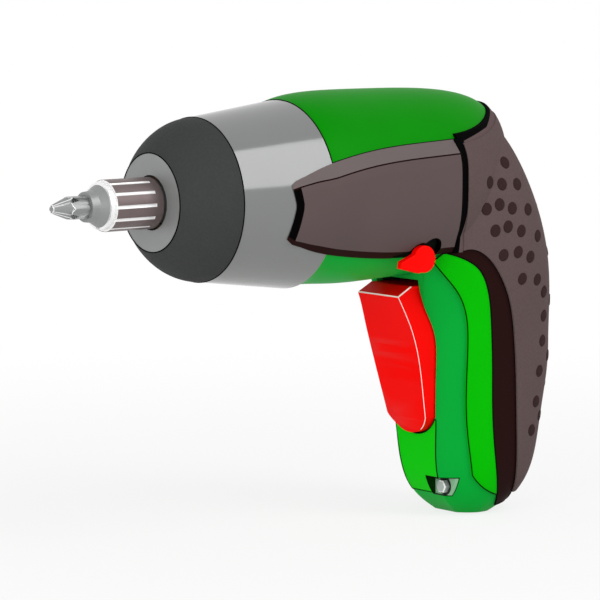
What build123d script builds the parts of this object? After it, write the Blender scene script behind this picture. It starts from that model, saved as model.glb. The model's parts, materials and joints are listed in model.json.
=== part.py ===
from build123d import *
import math
import os

# Compact pistol-grip impact driver, in millimetres.
# +X points forward out of the chuck, +Y to the user's left, +Z up.
# The origin is on the spindle axis, at the mouth of the hex socket.
# A distance called aft runs backwards from the nose face.

# Fits and gaps
running_fit = 0.05
face_gap = 0.3
seat_gap = 0.05
under_pad_gap = 0.15

# Chuck and bit
chuck_reach = 23.5
hex_across_flats = 6.35
bit_length = 25.0
bit_reach = 11.4
bit_hex_reach = 6.2
bit_tip_radius = 1.2
bit_shoulder = 0.8
bit_flute_size = 3.0
bit_flute_root = 0.6
bit_flute_runout = 4.0
bit_flute_count = 4
magnet_thickness = 2.5
socket_fit = 0.05
anvil_mouth_radius = 4.4
anvil_cone_radius = 6.2
anvil_cone_length = 4.8
anvil_waist_radius = 4.75
anvil_waist_setback = 2.5
stop_ring_width = 1.9
stop_ring_radius = 6.9
stop_groove_depth = 0.6
sleeve_radius = 7.6
sleeve_land_length = 7.6
sleeve_land_bore = 6.35
sleeve_chamber_bore = 6.8
sleeve_nose_gap = 0.6
sleeve_travel = 2.5
flute_count = 12
flute_radius = 0.7
flute_depth = 0.35
sleeve_spring_seat = 5.4
sleeve_spring_wire = 0.8
sleeve_spring_turns = 3.5
sleeve_spring_length = 7.0
sleeve_collar = 2.4
release_groove_half = 1.4
ball_setback = 10.9
detent_ball_radius = 1.5

# Nose and gear case
nose_plate_thickness = 2.5
nose_plate_radius = 14.5
nose_hole_radius = 8.1
nose_ring_length = 16.0
nose_ring_rows = ((0.4, 14.9), (2.5, 17.4), (6.4, 20.8))
nose_ring_wall = 2.0
case_front_radius = 24.3
case_length = 31.0
barrel_radius = 28.2
spigot_wall = 2.1
bush_radius = 9.5
bush_length = 12.0
anvil_shaft_radius = 6.45

# Impact mechanism
lug_length = 6.0
lug_radius = 17.0
lug_width = 10.0
anvil_hub_radius = 9.0
hammer_radius = 19.0
hammer_length = 17.0
hammer_travel = 6.5
dog_length = 4.6
dog_inner_radius = 10.5
spindle_radius = 8.0
pilot_radius = 3.4
pilot_length = 4.8
cam_ball_radius = 2.0
cam_ball_setback = 7.0
hammer_spring_radius = 13.6
hammer_spring_wire = 2.2
hammer_spring_turns = 2.75
spring_pocket_depth = 10.0
spring_pocket_gap = 0.8

# Planetary gears
gear_module = 0.7
pressure_angle = math.radians(25.0)
sun_teeth = 9
planet_teeth = 18
ring_teeth = 45
planet_count = 3
tooth_addendum = 0.8
tooth_dedendum = 1.05
tooth_thinning = 0.12
flank_steps = 2
planet_width = 7.0
planet_pin_radius = 2.0
ring_gear_radius = 20.0
ring_gear_overlap = 0.5
cheek_radius = 14.5
front_cheek_thickness = 3.0
rear_cheek_thickness = 2.5
web_radius = 2.5
web_circle = 11.5
pinion_length = 11.5
hub_bore_radius = 4.2

# Gearbox plate and spindle bearing
gearbox_plate_thickness = 6.0
bearing_width = 5.0
bearing_bore_radius = 6.0
bearing_inner_radius = 7.4
bearing_ball_circle = 9.0
bearing_ball_radius = 1.7
bearing_ball_count = 8
bearing_outer_wall = 10.6
bearing_radius = 12.0
plate_screw_radius = 1.5
plate_screw_head = 2.6
plate_screw_length = 11.0
plate_screw_count = 4

# Motor
motor_radius = 16.0
motor_can_length = 38.0
motor_can_wall = 1.2
motor_cap_length = 6.0
motor_cap_wall = 2.0
motor_boss_radius = 5.6
motor_boss_length = 4.0
motor_bush_radius = 4.0
motor_shaft_radius = 1.5
magnet_wall = 3.0
magnet_length = 26.0
magnet_half_angle = 62.0
rotor_radius = 11.2
rotor_length = 22.0
rotor_slots = 5
rotor_slot_circle = 7.4
rotor_slot_radius = 1.8
rotor_slot_mouth = 1.0
rotor_end_gap = 2.0
winding_overhang = 3.2
winding_setback = 0.9
commutator_radius = 4.0
commutator_length = 5.0
commutator_slit = 0.4
brush_size = 2.6
brush_length = 5.0

# Housing shell
wall = 2.4
pad_depth = 1.0
rib_bite = 0.6
rib_thickness = 2.0
motor_rib_inset = 6.0
motor_rib_floor = -21.0
cell_rib_height = -77.0
ledge_width = 3.0
grip_raise = 1.3
trim_raise = 0.5
seam_raise = 1.0
seam_width = 2.8
pad_end = -96.0
base_height = -102.0

# Barrel sections behind the case joint: distance, centre height, loss of half width, loss of half height
barrel_rows = (
    (0.0, 0.0, 0.0, 0.0),
    (21.0, 1.3, -0.1, -1.0),
    (39.0, 1.5, 0.8, -0.6),
    (53.0, 1.8, 2.4, 0.2),
    (63.0, 3.2, 5.2, 2.6),
    (71.0, 6.4, 9.6, 7.6),
    (77.2, 10.8, 16.0, 15.2),
)
barrel_end_round = 8.0

# Handle sections: height, front aft, front half width, widest aft, half width, rear aft
handle_rows = (
    (19.0, 101.0, 9.0, 110.0, 13.0, 119.4),
    (10.0, 98.5, 15.0, 112.0, 20.2, 126.3),
    (0.0, 96.0, 17.5, 113.0, 23.2, 131.6),
    (-15.0, 92.5, 17.0, 115.0, 23.8, 138.8),
    (-30.0, 93.0, 12.4, 117.0, 22.2, 143.0),
    (-48.0, 97.8, 10.9, 119.0, 20.0, 144.2),
    (-66.0, 99.5, 10.1, 120.0, 18.7, 142.6),
    (-82.0, 100.9, 8.9, 120.0, 17.8, 139.3),
    (-92.0, 103.3, 7.9, 119.3, 16.0, 135.6),
    (-99.0, 108.6, 6.2, 118.6, 12.4, 129.3),
    (base_height, 112.5, 5.0, 118.4, 9.2, 124.5),
)

# How the handle's front corners lean outwards, how sharply they turn, and how far an inset draws them in
front_corner_lean = 0.35
front_corner_pull = 0.6
front_corner_inset = 0.8

# Lines between the coloured zones, seen from the side: aft, height
panel_top = ((32.0, 5.2), (43.0, 9.8), (58.0, 13.2), (76.0, 14.9), (96.4, 15.7))
panel_bottom = ((31.6, -11.0), (41.5, -15.0), (54.0, -17.4), (72.0, -19.2), (98.8, -19.0))
panel_notch = (33.4, -1.0)
seam_top = ((127.5, 27.0), (121.4, 22.6), (112.5, 18.6), (96.4, 15.7))
seam_side = ((96.4, 15.7), (97.4, 11.2), (96.9, 3.5), (97.3, -5.0), (98.2, -11.6), (98.8, -19.0))
rim_rear = (
    (98.8, -19.0), (103.6, -18.2), (108.4, -20.4), (114.2, -26.6),
    (119.0, -35.0), (122.4, -48.0), (124.8, -70.0), (127.8, pad_end),
)
rim_front = (
    (95.0, -19.0), (102.0, -21.4), (106.8, -24.6), (110.2, -30.0),
    (112.9, -40.0), (115.2, -64.0), (117.6, -85.0), (120.7, pad_end),
)
strip_front = (
    (92.6, -21.6), (97.2, -27.0), (101.8, -32.4), (105.2, -40.0),
    (106.3, -54.0), (107.0, -68.0), (108.4, -79.0), (110.4, -89.0),
)
strip_foot = (strip_front[-1], (113.8, -92.6), rim_front[-1])
rim_foot = [rim_rear[-1], (128.2, -98.8), (122.3, -99.8), rim_front[-1]]

# Trigger and switch
trigger_gap = 0.5
trigger_front = ((85.1, -32.6), (89.0, -42.0), (91.8, -51.0), (94.0, -60.0), (96.6, -71.4))
trigger_front_toe = (98.0, -75.0)
trigger_top_back = (90.2, -29.8)
trigger_back = 103.5
trigger_toe = -76.2
trigger_wall = 2.0
trigger_pin_aft = 103.6
trigger_pin_height = -72.0
trigger_pin_radius = 1.5
trigger_pin_length = 23.0
trigger_boss_radius = 3.2
slot_top = -27.9
plunger_height = -45.0
plunger_radius = 2.0
plunger_stroke = 3.4
plunger_length = 8.2
switch_front = 110.8
switch_depth = 5.2
switch_width = 13.0
switch_top = -36.0
switch_bottom = -56.0
trigger_spring_radius = 3.1
trigger_spring_wire = 0.6
trigger_spring_turns = 4.0

# Half width of the trigger at each height, from its top down to where its toe starts to round
trigger_flanks = ((-29.0, 9.7), (-34.0, 10.0), (-42.0, 11.2), (-51.0, 11.4), (-60.0, 10.6), (-70.8, 9.3))

# Reversing lever
lever_aft = 85.0
lever_height = -18.7
lever_swing = 7.0
lever_end_aft = 82.9
lever_end_height = -19.7
lever_end_radius = 4.1
lever_outline = (
    (74.1, -20.0), (78.1, -18.5), (79.9, -17.7), (82.4, -15.8),
    (84.8, -19.0), (84.9, -22.8), (80.8, -23.9), (73.7, -22.1),
)
lever_inner_face = 23.3
lever_thickness = 2.1
lever_gap = 0.4
lever_shaft_radius = 1.7
lever_shaft_end = 13.0
reversing_switch_depth = 3.0
bezel_aft = 87.1
bezel_height = -17.5
bezel_radius = 3.75
bezel_collar_radius = 2.6
bezel_face = 22.95
bezel_root = 14.0

# Cells, board and leads
cell_diameter = 14.0
cell_length = 50.0
cell_aft = 123.2
cell_top = -32.5
cell_gap = 0.1
tab_thickness = 0.4
tab_width = 6.0
board_thickness = 1.6
board_gap = 3.0
board_edge_gap = 0.3
lead_radius = 0.9
lead_bend = 3.0
motor_lead_side = 2.0
motor_lead_height = -9.0
motor_lead_aft = 114.2
cell_lead_side = 4.8
cell_lead_aft = 121.0
cell_lead_front = 112.4
cell_lead_rise = 4.0

# Fasteners and foot
case_screw_places = ((119.5, 9.0), (101.2, -23.0), (110.6, -72.0), (136.0, -58.0))
case_screw_radius = 1.5
case_screw_head = 2.8
case_screw_head_height = 2.0
case_screw_reach = 7.0
boss_wall = 1.8
notch_aft = 107.1
notch_top = -90.0
notch_bottom = -95.7
notch_floor = 2.4
notch_wall = 1.8
foot_plate_thickness = 0.8
foot_screw_side = 7.0
foot_screw_radius = 1.5
foot_screw_head = 2.2
foot_screw_head_height = 1.8
foot_screw_length = 9.0
strip_top = -71.5
strip_top_half = 9.9
strip_bottom = -95.3
strip_bottom_half = 7.7

# Stations worked out from the sizes above, all aft of the nose face
joint = nose_ring_length + case_length
socket_mouth = -chuck_reach
stop_ring_front = socket_mouth + anvil_cone_length
sleeve_front = stop_ring_front + stop_ring_width
sleeve_land_back = sleeve_front + sleeve_land_length
bush_back = nose_plate_thickness + bush_length
lug_front = bush_back + face_gap
lug_back = lug_front + lug_length
hammer_front = lug_back + face_gap
hammer_back = hammer_front + hammer_length
cam_ball_aft = hammer_front + cam_ball_setback
cheek_front = hammer_back + hammer_travel + 2 * face_gap
cheek_back = cheek_front + front_cheek_thickness
planet_front = cheek_back + face_gap
planet_back = planet_front + planet_width
rear_cheek_front = planet_back + face_gap
rear_cheek_back = rear_cheek_front + rear_cheek_thickness
plate_front = rear_cheek_back + 2 * face_gap
plate_back = plate_front + gearbox_plate_thickness
bearing_front = plate_front + face_gap
can_back = plate_back + motor_can_length
cap_back = can_back + motor_cap_length
rotor_front = plate_back + motor_boss_length + winding_overhang + rotor_end_gap
rotor_back = rotor_front + rotor_length
commutator_front = rotor_back + winding_overhang + face_gap
bit_back = socket_mouth - bit_reach + bit_length
magnet_back = bit_back + face_gap + magnet_thickness
carrier_circle = gear_module * (sun_teeth + planet_teeth) / 2
spigot_radius = barrel_radius - spigot_wall - seat_gap
cell_side = cell_diameter / 2 + cell_gap / 2
cell_bottom = cell_top - cell_length
board_top = cell_bottom - board_gap
board_bottom = board_top - board_thickness
far = 60.0
touch = 0.001


def station(aft):
    """Position along X of a plane that lies aft of the nose face."""
    return -chuck_reach - aft


def disc_plane(aft, y=0.0, z=0.0):
    """Plane square to the spindle axis that faces forward."""
    return Plane(origin=(station(aft), y, z), x_dir=(0, 1, 0), z_dir=(1, 0, 0))


def side_plane(y):
    """Plane square to Y whose own axes run along X and Z."""
    return Plane(origin=(0, y, 0), x_dir=(1, 0, 0), z_dir=(0, -1, 0))


def bar(face, front, back, y=0.0, z=0.0):
    """A face drawn square to the spindle axis, drawn out between two stations."""
    return extrude(disc_plane(back, y, z) * face, back - front)


def rod(front, back, radius, y=0.0, z=0.0):
    return bar(Circle(radius), front, back, y, z)


def tube(front, back, outer, inner, y=0.0, z=0.0):
    return bar(Circle(outer) - Circle(inner), front, back, y, z)


def turned(*corners):
    """A body turned about the spindle axis from (aft, radius) corners."""
    profile = make_face(Polyline(*[(station(a), r) for a, r in corners], close=True))
    return revolve(profile, Axis.X)


def side_block(face, low, high):
    """A side-view face drawn out along Y between two sides."""
    return extrude(side_plane(high) * face, high - low)


def side_rod(aft, z, low, high, radius):
    return side_block(Pos(station(aft), z) * Circle(radius), low, high)


def post(aft, y, low, high, radius):
    """An upright round bar."""
    return extrude(Plane(origin=(station(aft), y, low)) * Circle(radius), high - low)


def slab(low, high):
    """Everything between two heights."""
    return Pos(station(joint + far), 0, (low + high) / 2) * Box(6 * far, 4 * far, high - low)


def around(count, piece, first=0.0):
    """Copies of a piece spaced evenly about the spindle axis."""
    return [Rot(X=first + 360.0 * k / count) * piece for k in range(count)]


def mirrored(piece):
    return mirror(piece, about=Plane.XZ)


def zone(*runs):
    """Side-view face bounded by runs of (aft, height) points; three or more points make a curve."""
    paths = [[(station(a), z) for a, z in run] for run in runs]
    edges = []
    for index, path in enumerate(paths):
        if len(path) == 2:
            edges.append(Line(*path))
        if len(path) > 2:
            edges.append(Spline(*path))
        following = paths[(index + 1) % len(paths)][0]
        if math.dist(path[-1], following) > touch:
            edges.append(Line(path[-1], following))
    return make_face(edges)


def shifted(run, distance):
    """A run of points moved sideways, to the left of its direction of travel as seen from +Y."""
    moved = []
    for index, (aft, height) in enumerate(run):
        before = run[max(index - 1, 0)]
        after = run[min(index + 1, len(run) - 1)]
        ahead = (after[0] - before[0], after[1] - before[1])
        size = math.hypot(*ahead)
        moved.append((aft - distance * ahead[1] / size, height + distance * ahead[0] / size))
    return moved


def band(run, width):
    """Side-view strip of even width along a run of points."""
    return zone(shifted(run, width / 2), list(reversed(shifted(run, -width / 2))))


def spring(radius, wire, turns, length):
    """Compression spring that stands on z = 0 and winds up to its length."""
    rise = length - wire
    path = Helix(pitch=rise / turns, height=rise, radius=radius)
    section = Plane(origin=path @ 0, z_dir=path % 0) * Circle(wire / 2)
    return Pos(0, 0, wire / 2) * sweep(section, path=path, is_frenet=True)


def along_axis(piece, back, y=0.0, z=0.0):
    """Lays an upright piece along the spindle direction, its foot at a station, its top forward."""
    return disc_plane(back, y, z) * piece


# Outer form of the housing


def barrel_form(inset):
    sections = []
    for behind, centre, less_width, less_height in barrel_rows:
        last = behind == barrel_rows[-1][0]
        aft = joint + behind - (inset if last else 0.0)
        ellipse = Ellipse(barrel_radius - less_width - inset, barrel_radius - less_height - inset)
        sections.append(disc_plane(aft, 0, centre) * ellipse)
    barrel = loft(sections)
    rear_end = barrel.faces().sort_by(Axis.X)[0]
    return fillet(rear_end.edges(), barrel_end_round - inset)


def handle_section(height, front, front_half, widest, half, rear):
    """Level section of the handle: flat front, bowed flanks and a round back."""
    front_left = (station(front), front_half)
    front_right = (station(front), -front_half)
    left = (station(widest), half)
    right = (station(widest), -half)
    back = (station(rear), 0)
    aftward = (-1, 0)
    forward = (1, 0)
    spread = (-front_corner_lean, 1)
    close_in = (front_corner_lean, 1)
    edges = [
        Line(front_right, front_left),
        Spline(front_left, left, tangents=(spread, aftward), tangent_scalars=(front_corner_pull, 1)),
        Spline(left, back, right, tangents=(aftward, forward)),
        Spline(right, front_right, tangents=(forward, close_in), tangent_scalars=(1, front_corner_pull)),
    ]
    return Pos(0, 0, height) * make_face(edges)


def handle_form(inset):
    sections = []
    for height, front, front_half, widest, half, rear in handle_rows:
        level = height
        if height == handle_rows[0][0]:
            level = height - inset
        if height == base_height:
            level = height + inset
        narrow = front_half - front_corner_inset * inset
        sections.append(handle_section(level, front + inset, narrow, widest, half - inset, rear - inset))
    return loft(sections)


def body_form(inset):
    """The housing's outer form, taken in by an even inset."""
    return barrel_form(inset) + handle_form(inset)


def case_form(raise_by):
    """The gear case's outer cone from the nose ring to the joint, let out by an even amount."""
    return turned(
        (nose_ring_length, 0),
        (nose_ring_length, case_front_radius + raise_by),
        (joint, barrel_radius + raise_by),
        (joint, 0),
    )


skin = body_form(0.0)
pad_floor = body_form(pad_depth + under_pad_gap)
pad_under = body_form(pad_depth)
cavity = body_form(wall)
rib_limit = body_form(wall - rib_bite)
raised = body_form(-grip_raise)
proud = body_form(-trim_raise)
sealed = body_form(-seam_raise)

# Coloured zones of the housing, as side-view faces

cover_zone = zone(panel_top, seam_top[::-1], [(joint - far / 2, far)])
panel_zone = zone(panel_top, seam_side, panel_bottom[::-1], [panel_notch])
behind_grip = [(joint + 2 * far, pad_end), (joint + 2 * far, seam_top[0][1])]
grip_zone = zone(seam_top, seam_side, rim_rear, behind_grip)
rim_zone = zone(rim_rear, rim_foot[0:2], rim_foot[1:3], rim_foot[2:4], rim_front[::-1])
strip_zone = zone(rim_front, strip_foot[::-1], strip_front[::-1])
seam_zones = [band(seam_top, seam_width), band(seam_side, seam_width)]


def across(face):
    """A side-view face drawn out through the whole width."""
    return side_block(face, -far, far)


def left_part(piece):
    return piece & side_block(Pos(station(joint), 0) * Rectangle(8 * far, 8 * far), 0, far)


def right_part(piece):
    return piece & side_block(Pos(station(joint), 0) * Rectangle(8 * far, 8 * far), -far, 0)


seam_block = across(seam_zones[0]) + across(seam_zones[1])


def lever_hole(radius):
    return side_rod(lever_aft, lever_height, 0, far, radius)


def lever_face():
    """Side view of the reversing lever: a round end and a tapered tip."""
    corners = [(station(aft), height) for aft, height in lever_outline]
    rounded = Pos(station(lever_end_aft), lever_end_height) * Circle(lever_end_radius)
    return make_face(Polyline(*corners, close=True)) + rounded


def bezel_space(gap):
    """Round pocket in the panel and the room that the lever swings in."""
    pivot = Pos(station(lever_aft), lever_height)
    space = side_rod(bezel_aft, bezel_height, 0, far, bezel_radius + gap)
    for turn in (-lever_swing, 0.0, lever_swing):
        turned_face = pivot * Rot(0, 0, turn) * pivot.inverse() * offset(lever_face(), lever_gap + gap)
        space += side_block(turned_face, 0, far)
    return space


def make_top_cover():
    return (skin - pad_under) & across(cover_zone) - seam_block


def make_side_panels():
    outer = raised + case_form(grip_raise)
    shell = outer - pad_under - case_form(seat_gap)
    panels = shell & across(panel_zone) - seam_block
    left = left_part(panels) - bezel_space(seat_gap)
    return left, right_part(panels)


def make_rear_grip():
    return (raised - pad_under) & across(grip_zone) - seam_block


def make_trim(face):
    return (proud - pad_under) & across(face) - seam_block - across(panel_zone)


def make_seam_seal():
    return (sealed - pad_under) & seam_block


def front_strip_block():
    """Space of the bright strip on the handle's front, below the trigger."""
    corners = (
        (strip_top_half, strip_top),
        (strip_bottom_half, strip_bottom),
        (-strip_bottom_half, strip_bottom),
        (-strip_top_half, strip_top),
    )
    return bar(make_face(Polyline(*corners, close=True)), joint, joint + far)


def make_front_strip():
    return (skin - pad_under) & front_strip_block() - notch_block(0.0) - trigger_slot()


# Trigger, switch and reversing lever


def trigger_front_view(grow):
    """Front-view outline of the trigger, let out by an even amount: bowed sides and a round toe."""
    right = [(half + grow, height) for height, half in trigger_flanks]
    left = [(-half, height) for half, height in reversed(right)]
    crown = slot_top + far
    edges = [
        Spline(*right),
        ThreePointArc(right[-1], (0, trigger_toe - grow), left[0]),
        Spline(*left),
        Line(left[-1], (left[-1][0], crown)),
        Line((left[-1][0], crown), (right[0][0], crown)),
        Line((right[0][0], crown), right[0]),
    ]
    return make_face(edges)


def trigger_column(grow, front, back):
    """The trigger's front-view outline drawn out along the spindle direction."""
    return bar(trigger_front_view(grow), front, back)


def trigger_side_view(inset):
    """Side-view outline of the trigger, taken in by an even amount at its front, top and toe."""
    front = [(aft + inset, height) for aft, height in trigger_front]
    front[0] = (front[0][0], front[0][1] - inset)
    return zone(
        front[::-1],
        [(trigger_top_back[0] + inset / 2, trigger_top_back[1] - inset)],
        [(trigger_back, trigger_top_back[1] - inset)],
        [(trigger_back, trigger_toe + inset)],
        [(trigger_front_toe[0] + inset, trigger_toe + inset)],
        [(trigger_front_toe[0] + inset, trigger_front_toe[1] + inset)],
    )


def make_trigger():
    half = max(width for height, width in trigger_flanks)
    column = trigger_column(0.0, 0, joint + far)
    blank = side_block(trigger_side_view(0.0), -far, far) & column
    hollow = side_block(trigger_side_view(trigger_wall), -far, far)
    hollow = hollow & trigger_column(-trigger_wall, 0, joint + far)
    middle_rib = side_block(trigger_side_view(trigger_wall / 2), -trigger_wall / 2, trigger_wall / 2)
    middle_rib = middle_rib & column
    pusher_front = trigger_back - trigger_wall
    pusher_radius = trigger_spring_radius + trigger_spring_wire
    pusher_face = rod(pusher_front, trigger_back, pusher_radius, 0, plunger_height)
    pusher_core = rod(trigger_top_back[0] + trigger_wall, pusher_front, plunger_radius, 0, plunger_height)
    pin_boss = side_rod(trigger_pin_aft, trigger_pin_height, -half, half, trigger_boss_radius) & column
    body = blank - hollow + middle_rib + pusher_face + pusher_core + pin_boss
    return body - side_rod(trigger_pin_aft, trigger_pin_height, -far, far, trigger_pin_radius + running_fit)


def trigger_slot():
    """Opening in the housing's front that the trigger swings in."""
    window = zone(
        [(joint, slot_top)],
        [(switch_front, slot_top)],
        [(switch_front, trigger_toe - far)],
        [(joint, trigger_toe - far)],
    )
    return across(window) & trigger_column(trigger_gap, 0, joint + far)


def make_trigger_pin():
    half = trigger_pin_length / 2
    return side_rod(trigger_pin_aft, trigger_pin_height, -half, half, trigger_pin_radius)


def make_switch_body():
    face = Rectangle(switch_width, switch_top - switch_bottom)
    middle = (switch_top + switch_bottom) / 2
    block = bar(face, switch_front, switch_front + switch_depth, 0, middle)
    bore_end = trigger_back + face_gap + plunger_length + plunger_stroke + face_gap
    return block - rod(switch_front - face_gap, bore_end, plunger_radius + running_fit, 0, plunger_height)


def make_switch_plunger():
    tip = trigger_back + face_gap
    return rod(tip, tip + plunger_length, plunger_radius, 0, plunger_height)


def make_trigger_spring():
    length = switch_front - trigger_back - 2 * seat_gap
    coil = spring(trigger_spring_radius, trigger_spring_wire, trigger_spring_turns, length)
    return along_axis(coil, switch_front - seat_gap, 0, plunger_height)


def make_reversing_lever():
    paddle = side_block(lever_face(), lever_inner_face, lever_inner_face + lever_thickness)
    shaft = side_rod(lever_aft, lever_height, lever_shaft_end, lever_inner_face, lever_shaft_radius)
    return paddle + shaft


def make_lever_bezel():
    """Floor of the pocket in the panel, on a collar that carries the lever's shaft."""
    whole = side_block(Pos(station(lever_aft), 0) * Rectangle(2 * far, 2 * far), 0, bezel_face)
    floor = (skin - pad_under) & across(panel_zone) & bezel_space(0.0) & whole
    collar = side_rod(lever_aft, lever_height, bezel_root, bezel_face, bezel_collar_radius)
    return floor + collar - lever_hole(lever_shaft_radius + running_fit)


def make_reversing_switch():
    """Rotary contact block that the lever's shaft turns in."""
    inner_end = lever_shaft_end - reversing_switch_depth
    block = side_rod(lever_aft, lever_height, inner_end, bezel_root, bezel_collar_radius - face_gap)
    bore_radius = lever_shaft_radius + running_fit
    return block - side_rod(lever_aft, lever_height, lever_shaft_end - face_gap, far, bore_radius)


# Cells, board and leads


def make_cells(grow=0.0):
    radius = cell_diameter / 2 + grow
    left = post(cell_aft, cell_side, cell_bottom - grow, cell_top + grow, radius)
    return left + mirrored(left)


def make_control_board():
    return handle_form(wall + board_edge_gap) & slab(board_bottom, board_top)


def lead(points, grow=0.0):
    """Insulated wire along straight runs joined by arcs, through (aft, y, z) points."""
    path = FilletPolyline(*[(station(a), y, z) for a, y, z in points], radius=lead_bend)
    section = Plane(origin=path @ 0, z_dir=path % 0) * Circle(lead_radius + grow)
    return sweep(section, path=path)


motor_lead_route = (
    (cap_back, motor_lead_side, motor_lead_height),
    (motor_lead_aft, motor_lead_side, motor_lead_height),
    (motor_lead_aft, motor_lead_side, switch_top),
)
cell_lead_crest = cell_top + cell_lead_rise
cell_lead_route = (
    (cell_lead_aft, cell_lead_side, cell_top),
    (cell_lead_aft, cell_lead_side, cell_lead_crest),
    (cell_lead_front, cell_lead_side, cell_lead_crest),
    (cell_lead_front, cell_lead_side, switch_top),
)


def lead_pair(route, grow=0.0):
    left = lead(route, grow)
    return left + mirrored(left)


def make_cell_tabs():
    """Strap across the cells' lower ends with a tail down to the board."""
    strap = Pos(station(cell_aft), 0, cell_bottom - tab_thickness / 2)
    strap = strap * Box(tab_width, 2 * cell_side + tab_width, tab_thickness)
    tail_height = cell_bottom - board_top
    tail = Pos(station(cell_aft), 0, board_top + tail_height / 2) * Box(tab_width, tab_thickness, tail_height)
    return strap + tail


# Fasteners and foot


def screw_floor(aft, height):
    """Distance from the middle plane at which a case screw's head lies, below the pad floor."""
    probe = side_rod(aft, height, 0, far, case_screw_head)
    outer_face = (pad_floor & probe).faces().sort_by(Axis.Y)[-1]
    return outer_face.bounding_box().min.Y - under_pad_gap


screw_floors = {place: screw_floor(*place) for place in case_screw_places}


def case_screw(place):
    """Thread-forming screw that enters from the right half and ends in the left half."""
    floor = -screw_floors[place]
    head = side_rod(*place, floor, floor + case_screw_head_height, case_screw_head)
    shank = side_rod(*place, floor, case_screw_reach, case_screw_radius)
    return head + shank


def make_case_screws():
    return Compound(children=[case_screw(place) for place in case_screw_places])


def screw_bosses():
    """Pillars that the case screws pass through, on both halves."""
    pillars = []
    for place in case_screw_places:
        pillars.append(side_rod(*place, 0, far, case_screw_radius + boss_wall))
        pillars.append(side_rod(*place, -far, 0, case_screw_head + boss_wall))
    return pillars


def screw_holes():
    holes = []
    for place in case_screw_places:
        shoulder = case_screw_head_height - screw_floors[place]
        holes.append(side_rod(*place, shoulder, case_screw_reach + face_gap, case_screw_radius))
        holes.append(side_rod(*place, -far, shoulder, case_screw_head + seat_gap))
    return holes


def notch_block(grow):
    """Rectangular notch in the lower left front corner of the handle."""
    length = far / 2
    height = notch_top - notch_bottom + 2 * grow
    width = far / 2
    middle = (notch_top + notch_bottom) / 2
    place = Pos(station(notch_aft + grow - length / 2), notch_floor - grow + width / 2, middle)
    return place * Box(length, width, height)


notch_height = (notch_top + notch_bottom) / 2


def make_foot_plate():
    """Plate on the notch's rear wall, trimmed flush with the handle's flank."""
    width = far / 2
    face = Rectangle(width, notch_top - notch_bottom - 2 * seat_gap)
    middle = notch_floor + seat_gap + width / 2
    plate = bar(face, notch_aft - foot_plate_thickness, notch_aft, middle, notch_height) & skin
    return plate - rod(0, joint + 2 * far, foot_screw_radius, foot_screw_side, notch_height)


def make_foot_screw():
    """Hexagon-headed screw that enters the notch's rear wall."""
    top = notch_aft - foot_plate_thickness
    hexagon = RegularPolygon(foot_screw_head, 6)
    head = bar(hexagon, top - foot_screw_head_height, top, foot_screw_side, notch_height)
    return head + rod(top, top + foot_screw_length, foot_screw_radius, foot_screw_side, notch_height)


# Chuck and bit

land_radius = sleeve_land_bore - running_fit
groove_radius = land_radius - stop_groove_depth
spring_zone_front = sleeve_land_back + face_gap
spring_zone_back = sleeve_land_back + sleeve_spring_length
ball_aft = socket_mouth + ball_setback
ball_height = hex_across_flats / 2 + socket_fit + detent_ball_radius


def hexagon(across_flats):
    return RegularPolygon(across_flats / 2, 6, major_radius=False)


def make_anvil():
    body = turned(
        (socket_mouth, 0),
        (socket_mouth, anvil_mouth_radius),
        (socket_mouth + anvil_waist_setback, anvil_waist_radius),
        (stop_ring_front, anvil_cone_radius),
        (stop_ring_front, groove_radius),
        (sleeve_front, groove_radius),
        (sleeve_front, land_radius),
        (spring_zone_front, land_radius),
        (spring_zone_front, sleeve_spring_seat),
        (spring_zone_back, sleeve_spring_seat),
        (spring_zone_back, anvil_shaft_radius),
        (lug_front, anvil_shaft_radius),
        (lug_front, 0),
    )
    lugs = Rectangle(2 * lug_radius, lug_width) & Circle(lug_radius)
    body += bar(lugs + Circle(anvil_hub_radius), lug_front, lug_back)
    body -= bar(hexagon(hex_across_flats + 2 * socket_fit), socket_mouth, magnet_back)
    body -= rod(lug_back - pilot_length, lug_back, pilot_radius + running_fit)
    return body - post(ball_aft, 0, 0, far, detent_ball_radius + running_fit)


def make_detent_ball():
    return Pos(station(ball_aft), 0, ball_height) * Sphere(detent_ball_radius)


def make_bit_magnet():
    return rod(magnet_back - magnet_thickness, magnet_back, hex_across_flats / 2 - socket_fit)


def make_sleeve_stop_ring():
    """Snap ring with a small gap underneath."""
    ring = tube(stop_ring_front, sleeve_front - seat_gap, stop_ring_radius, groove_radius + seat_gap)
    slit = Pos(station(stop_ring_front), 0, -stop_ring_radius) * Box(far, stop_ring_width, stop_ring_radius)
    return ring - slit


def make_chuck_sleeve():
    back = -sleeve_nose_gap
    sleeve = tube(sleeve_front, back, sleeve_radius, sleeve_land_bore)
    sleeve -= rod(sleeve_land_back, back, sleeve_chamber_bore)
    release = ball_aft - sleeve_travel
    sleeve -= rod(release - release_groove_half, release + release_groove_half, sleeve_chamber_bore)
    flute = rod(sleeve_front, back - sleeve_collar, flute_radius, sleeve_radius + flute_radius - flute_depth)
    return sleeve - around(flute_count, flute)


def make_sleeve_spring():
    middle = (sleeve_spring_seat + sleeve_chamber_bore) / 2
    length = sleeve_spring_length - 2 * seat_gap
    coil = spring(middle, sleeve_spring_wire, sleeve_spring_turns, length)
    return along_axis(coil, spring_zone_back - seat_gap)


def bit_flute():
    """Wedge that cuts one of the recesses of a cross-point tip."""
    tip = socket_mouth - bit_reach
    shoulder = socket_mouth - bit_hex_reach
    reach = bit_flute_size * math.sqrt(2) / 2
    square = Rot(Z=45) * Rectangle(bit_flute_size, bit_flute_size)
    front = disc_plane(tip - bit_shoulder, bit_flute_root + reach) * square
    back = disc_plane(shoulder + bit_flute_runout, hex_across_flats / math.sqrt(3) + reach) * square
    return loft([front, back], ruled=True)


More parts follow.
